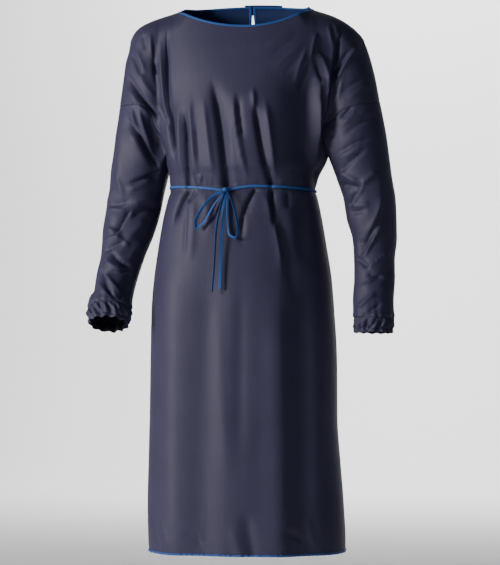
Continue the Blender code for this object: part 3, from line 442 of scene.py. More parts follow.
# Folds fade out by the side seams, and over a share of their length at each end. Ends at the
# tape and at HEM_END, just past the hem, stop short instead.
FOLD_FADE = 25
FOLD_END = 0.3
FOLD_STOP = 6
HEM_END = -1195

# Tape drawn in at the waist, and the small gathers by it, pressed flat under the tape
WAIST_DRAW = -2.6
WAIST_REACH = 8
WAIST_GATHER = 0.8
WAIST_GATHER_STEP = 15
WAIST_GATHER_REACH = 14
TAPE_PRESS = 0.7
TAPE_PRESS_REACH = 5
GATHER_SEED = {"front": 0.7, "back": 3.1}

# Height at which the tape lies across the front, over or under the waist, and its sway behind
TAPE_LINE = (
    "x     up",
    (-170, 6), (-148, 5), (-117, 3), (-75, -1), (-30, -6), (2, 0), (33, 2.5), (92, 1), (162, -3),
)
TAPE_BACK_Z = -392
TAPE_SWAY = 1.2
TAPE_SWAY_RUN = 41

# Puckers above the bound hem, which run aslant, and dips of the seams
PUCKER_STEP = 9.5
PUCKER_SLANT = 0.8
PUCKER_HEIGHT = 1.3
PUCKER_REACH = 8
SEAM_DIP = 0.9
SEAM_REACH = 2.2

# Rows and columns of the cloth, closest together by the hem and round the waist
HEM_ZONE_TOP = -1142
WAIST_ZONE_LOW = -450
WAIST_ZONE_TOP = -372
HEM_ROWS = 14
SKIRT_ROWS = 78
WAIST_ROWS = 28
CHEST_ROWS = 12
UPPER_ROWS = 84
BODY_COLUMNS = 84
NECK_COLUMN_SHARE = 0.75
ARM_COLUMNS = 46
SLEEVE_ROWS = 150
SLEEVE_TURNS = 150

# Sleeves: they leave the body's form over SEAM_BLEND below the seam, and towards the hand
# they tilt, in degrees
SEAM_BLEND = 90
FOLD_BLEND = 60
TILT_START = -430
TILT_RUN = 180
CUFF_TILT = {-1: 24, 1: 2}

# Roll of cloth above the cuff, tucked in at its end, and the gathers that run up from it.
# Steps round the arm are in degrees.
SLEEVE_ROLL = 1.3
ROLL_UNEVEN = 0.35
ROLL_STEP = 47
ROLL_REACH = 7
TUCK_DEPTH = 2.4
TUCK_REACH = 2.6
WRIST_GATHER = 1.9
WRIST_GATHER_STEP = 24
WRIST_GATHER_REACH = 18

# Cuffs: where they start and end on the arm, their gathers, and the elastic at a share of
# their length
CUFF_START = {-1: -652, 1: -672}
CUFF_END = {-1: -684, 1: -703}
CUFF_OVERLAP = 2
CUFF_ROWS = 36
CUFF_TURNS = 240
CUFF_LOBES = 12
LOBE_HEIGHT = 0.8
LOBE_GROWTH = 2.6
CROSS_LOBES = 18
CROSS_HEIGHT = 2.2
FINE_LOBES = 31
FINE_HEIGHT = 0.6
CUFF_SWELL = 1.6
CUFF_DRAW = 1.4
ELASTIC_START = 0.72
ELASTIC_PLACE = 0.74
ELASTIC_PINCH = 1.5
ELASTIC_REACH = 0.07
RIM_WAVE = 1.1

# Tab across the top of the centre-back opening
TAB_START = -14
TAB_END = 70
TAB_BELOW = 15
TAB_ABOVE = 7.5
TAB_LIFT = 2.4
TAB_COLUMNS = 60
TAB_LOW_ROWS = 12
TAB_HIGH_ROWS = 6
TAB_STITCH_ROW = 2
TAB_STITCH_LIFT = 0.15

# Knot: a lump with two turns of tape round it, each with its lean and its width
KNOT_PLACE = (-31, -397)
KNOT_LIFT = 8.2
KNOT_RADIUS = 6.0
KNOT_FLATNESS = 0.82
KNOT_HALF_HEIGHT = 5.4
KNOT_ROWS = 22
KNOT_TURNS = 36
KNOT_WRAPS = ((0.5, 5.2), (-0.9, 4.6))
WRAP_ACROSS = 5.6
WRAP_DEEP = 5.3
WRAP_RIPPLE = 0.2
WRAP_POINTS = 48

# Loops and free ends of the bow, hanging in front of the skirt by the clearance in each row
# and by a share of the height of its folds
HUNG_POINTS = 120
FOLD_CLEARANCE = 0.6
LOOP_RIGHT = (
    "x     z     clear",
    (-36, -400.7, 11.5),
    (-55, -409, 13),
    (-80, -436, 14),
    (-95, -466, 14),
    (-92, -479, 12),
    (-76, -466, 9),
    (-58, -433, 6.5),
    (-37, -403, 4.2),
)
LOOP_LEFT = (
    "x     z     clear",
    (-26, -400.7, 11.5),
    (-16, -422, 13),
    (-6, -456, 14),
    (-1, -484, 14),
    (-8, -501, 11),
    (-21, -494, 8),
    (-26, -462, 6),
    (-25.5, -403, 4.2),
)
TIE_FLAT = (
    "x     z     clear",
    (-31.3, -401.5, 7.8),
    (-33, -440, 12),
    (-35, -480, 12),
    (-38, -540, 9),
    (-40, -610, 7),
)
TIE_NARROW = (
    "x     z     clear",
    (-31, -401.4, 11.9),
    (-40, -440, 20),
    (-48, -490, 20),
    (-51, -550, 15),
    (-56, -617, 12),
)

# Surface of the cloth: patches of shade and crinkles to a metre, which are about 70 mm and
# 16 mm across. The crinkles are drawn out downwards, and gloss varies with them.
SHADE_PATCHES = 14.0
CRINKLES = 62.0
CRINKLE_STRETCH = 0.35
GLOSS_LOW = -0.05
GLOSS_HIGH = 0.07
CLOTH_IOR = 1.45
CLOTH_SPECULAR = 0.36

# Camera, in metres: the photograph is taken from a little to the wearer's left
CAMERA_TURN = 7
CAMERA_DISTANCE = 5
CAMERA_HEIGHT = -0.75
VIEW_ACROSS = 0.0066
VIEW_HEIGHT = -0.592
SENSOR_WIDTH = 36
FRAME_WIDTH = 1.095

# Floor and light, in metres and watts
FLOOR_Z = -1.42
FLOOR_COLOUR = "#f8f8f8"
STAGE_REACH = 12.0
STAGE_CORNER = 6.6
STAGE_CURVE = 2.0
STAGE_STEPS = 12
WALL_HEIGHT = 9.0
WORLD_COLOUR = "#e2e8fb"
WORLD_STRENGTH = 0.14
SMOCK_MIDDLE = (0, 0, -0.55)
KEY_TARGET = (0, 0, -0.75)
WALL_TARGET = (0, 8.6, -0.2)


def named(table):
    """Turns a short table into a dictionary of its columns."""
    names = table[0].split()
    columns = np.array(table[1:], dtype=float).T
    return dict(zip(names, columns))


def smooth(keys, values, at):
    """Smooth curve through table values that never overshoots them."""
    order = np.argsort(keys)
    keys = keys[order]
    values = values[order]
    step = np.diff(keys)
    rise = np.diff(values) / step
    slope = np.concatenate((rise[:1], np.zeros(len(keys) - 2), rise[-1:]))
    same = rise[1:] * rise[:-1] > 0
    total = np.where(same, rise[1:] + rise[:-1], 1)
    slope[1:-1] = np.where(same, 2 * rise[1:] * rise[:-1] / total, 0)
    at = np.clip(at, keys[0], keys[-1])
    i = np.clip(np.searchsorted(keys, at) - 1, 0, len(keys) - 2)
    t = (at - keys[i]) / step[i]
    start = (1 + 2 * t) * (1 - t) ** 2 * values[i] + t * (1 - t) ** 2 * step[i] * slope[i]
    end = t ** 2 * (3 - 2 * t) * values[i + 1] - t ** 2 * (1 - t) * step[i] * slope[i + 1]
    return start + end


def ease(t):
    """Smooth step from 0 to 1."""
    t = np.clip(t, 0, 1)
    return t * t * (3 - 2 * t)


def unit(vectors):
    """Vectors of length 1."""
    length = np.linalg.norm(vectors, axis=-1, keepdims=True)
    return vectors / np.maximum(length, TINY)


def bell(distance, reach):
    """1 at no distance, falling away softly."""
    return np.exp(-(distance / reach) ** 2)


def run_along(line):
    """Distance of each point from the first, along a line or along each column of a grid."""
    return np.cumsum(np.linalg.norm(np.diff(line, axis=0, prepend=line[:1]), axis=-1), axis=0)


def close_ends(count):
    """Steps from 0 to 1 that lie close together at both ends."""
    return 0.5 - 0.5 * np.cos(np.linspace(0, math.pi, count + 1))


torso = named(TORSO)
arms = {-1: named(RIGHT_ARM), 1: named(LEFT_ARM)}
ridges = {-1: named(RIGHT_RIDGE), 1: named(LEFT_RIDGE)}
armholes = {-1: named(RIGHT_ARMHOLE), 1: named(LEFT_ARMHOLE)}
drapes = {-1: named(RIGHT_DRAPE), 1: named(LEFT_DRAPE)}
opening = named(OPENING)
folds = {"front": named(FRONT_FOLDS), "back": named(BACK_FOLDS)}


# Form of the body


def torso_edge(side, z):
    """Edge of the torso on one side, -1 the wearer's right and 1 the left."""
    column = "right_edge" if side < 0 else "left_edge"
    return smooth(torso["z"], torso[column], z)


def middle(z):
    """Middle of the torso from the front."""
    return 0.5 * (torso_edge(-1, z) + torso_edge(1, z))


def arm_section(side, z):
    """Centre, half width and half depth of an arm at a height."""
    arm = arms[side]
    inner = smooth(arm["z"], arm["inner"], z)
    outer = smooth(arm["z"], arm["outer"], z)
    depth = smooth(arm["z"], arm["depth"], z)
    return 0.5 * (inner + outer), 0.5 * np.abs(outer - inner), depth


def ridge_height(side, x):
    """Height of the shoulder ridge at a place across."""
    ridge = ridges[side]
    return smooth(ridge["out"], ridge["z"], side * x)


def slit_edge(side, z):
    """Finished edge of the centre-back opening."""
    return BACK_CENTRE + side * smooth(opening["z"], opening["gap"], z) / 2


def body_depth(x, z, face):
    """Depth of the body at a place of the front view, on the front or the back."""
    total = 0
    centre = middle(z)
    deep = smooth(torso["z"], torso[face], z)
    for side in (-1, 1):
        here = x < centre if side < 0 else x >= centre
        half = np.abs(torso_edge(side, z) - centre)
        across = np.clip(np.abs(x - centre) / half, 0, 1)
        chest = deep * (1 - across ** (2 / ROUNDNESS)) ** (ROUNDNESS / 2)
        arm_centre, arm_half, arm_deep = arm_section(side, z)
        over = np.clip(np.abs(x - arm_centre) / arm_half, 0, 1)
        arm = arm_deep * np.sqrt(1 - over ** 2)
        arm = np.where(z > armholes[side]["z"][0], arm, 0)
        reach = DRAPE_BLEND * (chest + arm) + TINY
        overlap = np.maximum(reach - np.abs(chest - arm), 0)
        blend = np.maximum(chest, arm) + overlap ** 2 / (4 * reach)
        below = np.clip((ridge_height(side, x) - z) / RIDGE_ROUNDING, 0, 1)
        rounded = np.sqrt(1 - (1 - below) ** 2)
        total = total + np.where(here, blend * rounded, 0)
    return total


def face_sign(face):
    """-1 for the front and 1 for the back."""
    return -1 if face == "front" else 1


def body_normal(x, z, face):
    """Outward direction of the body at a place of the front view."""
    step = 1.0
    rise_x = (body_depth(x + step, z, face) - body_depth(x - step, z, face)) / (2 * step)
    rise_z = (body_depth(x, z + step, face) - body_depth(x, z - step, face)) / (2 * step)
    away = np.full_like(rise_x, face_sign(face))
    return unit(np.stack((-rise_x, away, -rise_z), axis=-1))


def stop_share(z, length):
    """Share of its length over which a fold fades out at an end."""
    near = min(abs(z - WAIST_Z), abs(z - HEM_END))
    return FOLD_STOP / length if near < FOLD_STOP / 2 else FOLD_END


def fold_height(face, x, z):
    """Height of the folds at places of the front view."""
    fold = folds[face]
    height = np.zeros_like(x)
    for i in range(len(fold["width"])):
        along_x = fold["x_end"][i] - fold["x_start"][i]
        along_z = fold["z_end"][i] - fold["z_start"][i]
        length = math.hypot(along_x, along_z)
        from_x = x - fold["x_start"][i]
        from_z = z - fold["z_start"][i]
        t = np.clip((from_x * along_x + from_z * along_z) / length ** 2, 0, 1)
        bow = 4 * t * (1 - t) * fold["bow"][i]
        off = (from_x * along_z - from_z * along_x) / length - bow
        width = fold["width"][i] * (1 + np.sign(off) * fold["lean"][i])
        # A fold that runs to the tape or the hem stops short there
        first = stop_share(fold["z_start"][i], length)
        last = stop_share(fold["z_end"][i], length)
        ends = ease(t / first) * ease((1 - t) / last)
        crest = np.exp(-(np.abs(off) / width) ** fold["soft"][i])
        height += fold["height"][i] * crest * ends
    return height


def uneven(at, step, seed):
    """Waves of uneven spacing and height along a line, from -1 to 1."""
    turn = 2 * math.pi * at / step
    first = np.cos(turn + 1.7 * np.sin(turn * 0.23 + seed) + seed)
    second = np.cos(turn * 0.61 + 2.1 * np.sin(turn * 0.17 + 2 * seed))
    return 0.6 * first + 0.4 * second


def body_height(x, z, face, depth):
    """Height of all that shapes the cloth over its plain form."""
    fade = ease(depth / FOLD_FADE)
    height = fold_height(face, x, z) * fade
    seed = GATHER_SEED[face]
    from_waist = np.abs(z - WAIST_Z)
    height += WAIST_DRAW * bell(from_waist, WAIST_REACH)
    gather = uneven(x, WAIST_GATHER_STEP, seed)
    pressed = 1 - TAPE_PRESS * bell(from_waist, TAPE_PRESS_REACH)
    near = np.exp(-from_waist / WAIST_GATHER_REACH) * pressed
    height += WAIST_GATHER * gather * near * fade
    above_hem = z - HEM_Z - BINDING_WIDTH
    pucker = uneven(x + PUCKER_SLANT * above_hem, PUCKER_STEP, seed + 1)
    height += PUCKER_HEIGHT * pucker * np.exp(-np.maximum(above_hem, 0) / PUCKER_REACH) * fade
    return height - SEAM_DIP * bell(depth, SEAM_REACH)


def body_points(x, z, face):
    """Points of the cloth over places of the front view, with their outward directions."""
    depth = body_depth(x, z, face)
    points = np.stack((x, face_sign(face) * depth, z), axis=-1)
    normals = body_normal(x, z, face)
    points = points + normals * body_height(x, z, face, depth)[..., None]
    points[..., 1] = face_sign(face) * np.maximum(face_sign(face) * points[..., 1], 0)
    return points, normals


def coons(low, high, start, end, across, up):
    """Fills four edges of the front view with a grid of places."""
    across = across[None, :, None]
    up = up[:, None, None]
    sides = (1 - across) * start[:, None] + across * end[:, None]
    ends = (1 - up) * low[None] + up * high[None]
    corners = (1 - across) * ((1 - up) * low[0] + up * high[0])
    corners = corners + across * ((1 - up) * low[-1] + up * high[-1])
    return sides + ends - corners


def neck_edge(side, face, share):
    """Panel's edge at the neck, from the inner edge (0) to the corner (1)."""
    corner = NECK_CORNER[side]
    corner_z = ridge_height(side, side * corner)
    low_z = FRONT_NECK_Z if face == "front" else BACK_NECK_Z
    start = middle(np.array(low_z)) if face == "front" else slit_edge(side, np.array(low_z))
    x = start + (side * corner - start) * share
    lift = (1 - share ** 2) ** NECK_CURVE[face]
    return x, corner_z + (low_z - corner_z) * lift


def row_places(side, face, shares, z):
    """Places along one row, from the middle or the opening to the side seam."""
    edge = torso_edge(side, z)
    start = middle(z) if face == "front" else slit_edge(side, z)
    return np.stack((start + (edge - start) * shares, z), axis=-1)


def half_places(side, face):
    """Places of one half of the body, row by row from the hem and column by column outward."""
    shares = np.sin(np.linspace(0, math.pi / 2, BODY_COLUMNS + 1)) ** ROUNDNESS
    # The cloth ends under the binding of the hem
    levels = np.concatenate((
        np.linspace(HEM_Z + BINDING_WIDTH - HEM_TUCK, HEM_ZONE_TOP, HEM_ROWS)[:-1],
        np.linspace(HEM_ZONE_TOP, WAIST_ZONE_LOW, SKIRT_ROWS)[:-1],
        np.linspace(WAIST_ZONE_LOW, WAIST_ZONE_TOP, WAIST_ROWS),
    ))
    rows = [row_places(side, face, shares, np.full_like(shares, z)) for z in levels]
    underarm = armholes[side]["z"][0]
    chest = CHEST_Z + (underarm - CHEST_Z) * ease(shares)
    low = row_places(side, face, shares, chest)
    for step in np.linspace(0, 1, CHEST_ROWS)[1:-1]:
        between = levels[-1] + (chest - levels[-1]) * step
        rows.append(row_places(side, face, shares, between))
    up = close_ends(UPPER_ROWS)

    drape = drapes[side]
    top_x = float(smooth(drape["z"], drape["across"], np.array(drape["z"].max())))
    top_z = float(ridge_height(side, top_x))
    outer_z = underarm + (top_z - underarm) * up
    outer = np.stack((smooth(drape["z"], drape["across"], outer_z), outer_z), axis=-1)
    outer[-1] = (top_x, top_z)

    neck_columns = round(BODY_COLUMNS * NECK_COLUMN_SHARE)
    neck_x, neck_z = neck_edge(side, face, np.linspace(0, 1, neck_columns + 1))
    ridge_x = np.linspace(neck_x[-1], top_x, BODY_COLUMNS - neck_columns + 1)[1:]
    high_x = np.concatenate((neck_x, ridge_x))
    high = np.stack((high_x, np.concatenate((neck_z, ridge_height(side, ridge_x)))), axis=-1)

    inner_z = low[0, 1] + (high[0, 1] - low[0, 1]) * up
    inner_x = low[0, 0] + (high[0, 0] - low[0, 0]) * up
    if face == "back":
        inner_x = slit_edge(side, inner_z)
    inner = np.stack((inner_x, inner_z), axis=-1)
    across = np.abs(low[:, 0] - low[0, 0]) / abs(low[-1, 0] - low[0, 0])
    return np.concatenate((np.array(rows), coons(low, high, inner, outer, across, up)))


def armhole_place(side, turn):
    """Place of the armhole seam at a turn round the arm, in degrees from the underarm."""
    armhole = armholes[side]
    z = smooth(armhole["turn"], armhole["z"], turn)
    centre, half, _ = arm_section(side, z)
    return np.stack((centre - side * half * np.cos(np.radians(turn)), z), axis=-1)


def wing_places(side, drape_column):
    """Places of the cloth over the upper arm, between the drape line and the outer seam."""
    turns = np.linspace(0, 180, ARM_COLUMNS + 1)
    low = armhole_place(side, turns)
    arm = arms[side]
    up = close_ends(UPPER_ROWS)
    corner_x = side * ridges[side]["out"][-1]
    corner_z = ridges[side]["z"][-1]
    outer_z = low[-1, 1] + (corner_z - low[-1, 1]) * up
    outer = np.stack((smooth(arm["z"], arm["outer"], outer_z), outer_z), axis=-1)
    across = (1 - np.cos(np.radians(turns))) / 2
    high_x = drape_column[-1, 0] + (corner_x - drape_column[-1, 0]) * across
    high = np.stack((high_x, ridge_height(side, high_x)), axis=-1)
    high[0] = drape_column[-1]
    outer[-1] = high[-1]
    return coons(low, high, drape_column, outer, across, up)


def half_panel(side, face):
    """Cloth of one half of the body and of the wing over its upper arm, as two grids."""
    places = half_places(side, face)
    body, _ = body_points(places[..., 0], places[..., 1], face)
    upper = UPPER_ROWS + 1
    wing = wing_places(side, places[-upper:, -1])
    arm, normals = body_points(wing[..., 0], wing[..., 1], face)
    # The wing dips into the armhole seam
    arm -= normals * (SEAM_DIP * bell(run_along(arm), SEAM_REACH))[..., None]
    arm[:, 0] = body[-upper:, -1]
    return places, body, arm


# Sleeves


def sleeve_axis(side, level):
    """Centre of the arm at a height."""
    arm = arms[side]
    centre, half, depth = arm_section(side, level)
    back = smooth(arm["z"], arm["set_back"], level)
    back = np.where(level > armholes[side]["z"][0], 0, back)
    return centre, back, half, depth


def sleeve_ring(side, level, turn):
    """Points round the arm: level is a height for each turn, and turns are in degrees."""
    centre, back, half, depth = sleeve_axis(side, level)
    lean = np.radians(CUFF_TILT[side]) * ease((TILT_START - level) / TILT_RUN)
    x = centre - side * half * np.cos(np.radians(turn))
    fore = -depth * np.sin(np.radians(turn))
    return np.stack((x, back + fore * np.cos(lean), level - fore * np.sin(lean)), axis=-1)


def ring_normals(points):
    """Outward directions of a tube of rings."""
    round_way = np.roll(points, -1, axis=1) - np.roll(points, 1, axis=1)
    down = np.gradient(points, axis=0)
    normals = unit(np.cross(round_way, down))
    out = points - points.mean(axis=1, keepdims=True)
    half = len(points) // 2
    return normals if np.sum(normals[half] * out[half]) > 0 else -normals


def sleeve_points(side):
    """Rings of a sleeve from the armhole to the roll of cloth above the cuff."""
    turns = np.arange(SLEEVE_TURNS) * 360 / SLEEVE_TURNS
    mirrored = np.where(turns > 180, 360 - turns, turns)
    behind = turns > 180
    seam = armhole_place(side, mirrored)
    front_depth = body_depth(seam[:, 0], seam[:, 1], "front")
    back_depth = body_depth(seam[:, 0], seam[:, 1], "back")
    _, _, own_depth = arm_section(side, seam[:, 1])
    faces = np.where(behind, 1, -1)
    full_depth = np.where(behind, back_depth, front_depth)
    extra = faces * (full_depth - own_depth * np.sin(np.radians(mirrored)))
    rows = []
    for share in close_ends(SLEEVE_ROWS):
        level = seam[:, 1] + (CUFF_START[side] - seam[:, 1]) * share
        ring = sleeve_ring(side, level, turns)
        ring[:, 1] += extra * (1 - ease((seam[:, 1] - level) / SEAM_BLEND))
        rows.append(ring)
    points = np.array(rows)
    at_seam = np.where(
        behind[:, None],
        body_normal(seam[:, 0], seam[:, 1], "back"),
        body_normal(seam[:, 0], seam[:, 1], "front"),
    )
    share = ease((seam[:, 1][None] - points[..., 2]) / FOLD_BLEND)[..., None]
    normals = unit(at_seam[None] * (1 - share) + ring_normals(points) * share)
    x, z = points[..., 0], points[..., 2]
    height = np.where(behind, fold_height("back", x, z), fold_height("front", x, z))
    _, set_back, _, _ = sleeve_axis(side, z)
    fade = ease(np.abs(points[..., 1] - set_back) / FOLD_FADE)
    fade[0] = ease(np.abs(points[0, :, 1]) / FOLD_FADE)
    height = height * fade
    # The cloth dips into the armhole seam and rolls over the cuff
    run = run_along(points)
    height -= 2 * SEAM_DIP * bell(run, SEAM_REACH)
    left = run[-1] - run
    roll = SLEEVE_ROLL * (1 + ROLL_UNEVEN * uneven(turns, ROLL_STEP, 1.3))
    height += roll * bell(left - ROLL_REACH, ROLL_REACH) - TUCK_DEPTH * bell(left, TUCK_REACH)
    gather = uneven(turns, WRIST_GATHER_STEP, 0.4)
    height += WRIST_GATHER * gather * np.exp(-left / WRIST_GATHER_REACH)
    return points + normals * height[..., None]


def cuff_points(side):
    """Rings of a gathered cuff, drawn in by its elastic and ruffled at its rim."""
    turns = np.arange(CUFF_TURNS) * 360 / CUFF_TURNS
    angle = np.radians(turns)
    # The lobes drift round the arm, so their spacing is uneven
    drift = 0.10 * np.sin(2 * angle + 1.1) + 0.06 * np.sin(5 * angle + side)
    top = CUFF_START[side] + CUFF_OVERLAP
    rows = []
    for share in np.linspace(0, 1, CUFF_ROWS):
        level = top + (CUFF_END[side] - top) * share
        ring = sleeve_ring(side, np.full(CUFF_TURNS, level), turns)
        centre = ring.mean(axis=0)
        lobe = np.cos(CUFF_LOBES * (angle + drift * (1 - 0.5 * share)))
        cross = np.cos(CROSS_LOBES * angle + 9 * share + side)
        fine = np.cos(FINE_LOBES * angle + 4 * share)
        gather = (LOBE_HEIGHT + LOBE_GROWTH * share) * lobe
        gather += CROSS_HEIGHT * math.sin(math.pi * share) * cross
        gather += FINE_HEIGHT * fine * math.sin(math.pi * min(1.1 * share, 1))
        swell = CUFF_SWELL * math.sin(math.pi * min(share / ELASTIC_START, 1)) - CUFF_DRAW
        pinch = -ELASTIC_PINCH * bell(share - ELASTIC_PLACE, ELASTIC_REACH)
        ring = ring + unit(ring - centre) * (gather + swell + pinch)[:, None]
        ring[:, 2] += RIM_WAVE * share * np.cos(CUFF_LOBES * angle + 1.2)
        rows.append(ring)
    return np.array(rows)


# Meshes


def piece(name, verts, faces, materials):
    """A mesh object from points in millimetres, shaded smooth."""
    data = bpy.data.meshes.new(name)
    data.from_pydata((np.asarray(verts) * MM).tolist(), [], faces)
    for material in materials:
        data.materials.append(material)
    data.validate()
    data.shade_smooth()
    item = bpy.data.objects.new(name, data)
    bpy.context.scene.collection.objects.link(item)
    return item


def grid_faces(rows, columns, first=0, ring=False, flip=False):
    """Quads of a grid of points, or of rings of points."""
    faces = []
    last = columns if ring else columns - 1
    for i in range(rows - 1):
        for j in range(last):
            k = (j + 1) % columns
            low = first + i * columns
            face = (low + j, low + k, low + columns + k, low + columns + j)
            faces.append(face[::-1] if flip else face)
    return faces


def faces_away(points, away):
    """True if the quads of a grid face towards a direction at the grid's middle."""
    i = points.shape[0] // 2
    j = points.shape[1] // 2
    across = points[i, j + 1] - points[i, j]
    up = points[i + 1, j] - points[i, j]
    return float(np.dot(np.cross(across, up), away)) > 0


def join_grids(grids, away):
    """Points and faces of several grids that share their edges."""
    verts = []
    faces = []
    for points in grids:
        flip = not faces_away(points, away)
        faces += grid_faces(*points.shape[:2], first=len(verts), flip=flip)
        verts += points.reshape(-1, 3).tolist()
    return verts, faces


def weld(item):
    """Joins points that meet."""
    mesh = bmesh.new()
    mesh.from_mesh(item.data)
    bmesh.ops.remove_doubles(mesh, verts=mesh.verts, dist=WELD_DISTANCE)
    mesh.to_mesh(item.data)
    mesh.free()


def thicken(item, wall):
    """Gives a shell its wall, with its second material inside."""
    wall_modifier = item.modifiers.new("wall", "SOLIDIFY")
    wall_modifier.thickness = wall * MM
    wall_modifier.offset = -1
    wall_modifier.use_even_offset = False
    wall_modifier.material_offset = 1


def turned_in(points):
    """True if the quads of a tube of rings face its inside, at its middle."""
    low = len(points) // 2
    section = points[low]
    normal = np.cross(section[1] - section[0], points[low + 1, 0] - section[0])
    return bool(np.dot(normal, section[0] - section.mean(axis=0)) < 0)


def loop_faces(count, first=0):
    """Quads of a strip that closes on itself, from ring to ring of its section."""
    faces = []
    for i in range(count):
        low = first + i * SECTION_POINTS
        high = first + (i + 1) % count * SECTION_POINTS
        for k in range(SECTION_POINTS):
            n = (k + 1) % SECTION_POINTS
            faces.append((low + k, low + n, high + n, high + k))
    return faces


def tube(points):
    """Points and faces of rings closed by a cap at each end."""
    rows, columns = points.shape[:2]
    if turned_in(points):
        points = points[:, ::-1]
    verts = points.reshape(-1, 3).tolist()
    faces = grid_faces(rows, columns, ring=True)
    faces.append(tuple(range(columns))[::-1])
    faces.append(tuple(range((rows - 1) * columns, rows * columns)))
    return verts, faces


def band_section(width, thick):
    """Flat oval section of a folded strip: places across it and through it."""
    turn = np.arange(SECTION_POINTS) * 2 * math.pi / SECTION_POINTS
    across = np.sign(np.cos(turn)) * np.abs(np.cos(turn)) ** 0.5 * width / 2
    through = np.sign(np.sin(turn)) * np.abs(np.sin(turn)) ** 0.75 * thick / 2
    return across, through


def band_rings(line, across, out, width, thick, ripple, seed):
    """Rings of a strip along a line, flat across one direction."""
    place, depth = band_section(width, thick)
    wave = ripple * uneven(run_along(line), RIPPLE_STEP, seed)
    rings = line[:, None] + across[:, None] * place[None, :, None]
    lift = depth[None] * (1 + 0.5 * wave[:, None]) + 0.35 * wave[:, None]
    return rings + out[:, None] * lift[..., None]


def resample(line, step, *others):
    """Points at an even step along a line, with the values that go with them."""
    run = run_along(line)
    count = max(int(round(run[-1] / step)), 2)
    at = np.linspace(0, run[-1], count + 1)
    result = []
    for values in (line, *others):
        result.append(np.stack([np.interp(at, run, values[:, k]) for k in range(3)], axis=-1))
    return result


def stitches(line, out):
    """Points and faces of a row of sewn stitches lying on the cloth."""
    line, out = resample(line, STITCH_STEP, out)
    out = unit(out)
    verts = []
    faces = []
    along = unit(np.gradient(line, axis=0))
    side = unit(np.cross(along, out))
    half = THREAD_WIDTH / 2
    for i in range(len(line)):
        first = len(verts)
        for step, size in ((-0.5, 0.3), (-0.25, 1), (0.25, 1), (0.5, 0.3)):
            centre = line[i] + along[i] * STITCH_LENGTH * step + out[i] * half * (size - 0.6)
            verts.append(centre + side[i] * half * size)
            verts.append(centre + out[i] * half * size)
            verts.append(centre - side[i] * half * size)
            verts.append(centre - out[i] * half * size)
        for ring in range(3):
            base = first + 4 * ring
            for k in range(4):
                n = (k + 1) % 4
                faces.append((base + k, base + n, base + 4 + n, base + 4 + k))
        faces.append((first + 3, first + 2, first + 1, first))
        faces.append((first + 12, first + 13, first + 14, first + 15))
    return verts, faces


# Materials


def colour(text):
    """Linear colour from an sRGB hex."""
    values = [int(text[i:i + 2], 16) / 255 for i in (1, 3, 5)]
    linear = [v / 12.92 if v <= 0.04045 else ((v + 0.055) / 1.055) ** 2.4 for v in values]
    return (*linear, 1.0)


def add(tree, kind, values=None, links=None, **settings):
    """Adds a shader node with its settings, the values of its sockets and what feeds them."""
    made = tree.nodes.new(kind)
    for name, value in settings.items():
        setattr(made, name, value)
    for name, value in (values or {}).items():
        made.inputs[name].default_value = value
    for name, source in (links or {}).items():
        tree.links.new(source, made.inputs[name])
    return made


def cloth_material(name, dark, light, roughness, crinkle, grain, grain_size):
    """Cloth whose colour, gloss and surface all vary a little from place to place.

    crinkle and grain are depths and grain_size is the grain's width, all in millimetres.
    """
    made = bpy.data.materials.new(name)
    made.use_nodes = True
    tree = made.node_tree
    shader = tree.nodes["Principled BSDF"]
    place = add(tree, "ShaderNodeTexCoord").outputs["Object"]
    broad = add(
        tree, "ShaderNodeTexNoise", {"Scale": SHADE_PATCHES, "Detail": 4.0}, {"Vector": place}
    ).outputs["Fac"]
    fine = add(
        tree,
        "ShaderNodeTexNoise",
        {"Scale": 1 / (grain_size * MM), "Detail": 2.0, "Roughness": 0.6},
        {"Vector": place},
    ).outputs["Fac"]
    stretch = add(
        tree, "ShaderNodeMapping", {"Scale": (1.0, 1.0, CRINKLE_STRETCH)}, {"Vector": place}
    ).outputs["Vector"]
    wrinkle = add(
        tree,
        "ShaderNodeTexNoise",
        {"Scale": CRINKLES, "Detail": 5.0, "Roughness": 0.62, "Distortion": 0.7},
        {"Vector": stretch},
    ).outputs["Fac"]
    tint = add(
        tree,
        "ShaderNodeMix",
        {6: colour(dark), 7: colour(light)},
        {"Factor": broad},
        data_type="RGBA",
    )
    tree.links.new(tint.outputs[2], shader.inputs["Base Color"])
    gloss = add(
        tree,
        "ShaderNodeMapRange",
        {"To Min": roughness + GLOSS_LOW, "To Max": roughness + GLOSS_HIGH},
        {"Value": wrinkle},
    ).outputs["Result"]
    tree.links.new(gloss, shader.inputs["Roughness"])
    first = add(
        tree,
        "ShaderNodeBump",
        {"Strength": 1.0, "Distance": crinkle * MM},
        {"Height": wrinkle},
    ).outputs["Normal"]
    second = add(
        tree,
        "ShaderNodeBump",
        {"Strength": 1.0, "Distance": grain * MM},
        {"Height": fine, "Normal": first},
    ).outputs["Normal"]
    tree.links.new(second, shader.inputs["Normal"])
    shader.inputs["Metallic"].default_value = 0.0
    shader.inputs["IOR"].default_value = CLOTH_IOR
    shader.inputs["Specular IOR Level"].default_value = CLOTH_SPECULAR
    return made


def plain_material(name, shade, roughness):
    """Even material of one colour."""
    made = bpy.data.materials.new(name)
    made.use_nodes = True
    shader = made.node_tree.nodes["Principled BSDF"]
    shader.inputs["Base Color"].default_value = colour(shade)
    shader.inputs["Roughness"].default_value = roughness
    shader.inputs["Metallic"].default_value = 0.0
    shader.inputs["IOR"].default_value = 1.5
    return made


# Camera, lights and floor


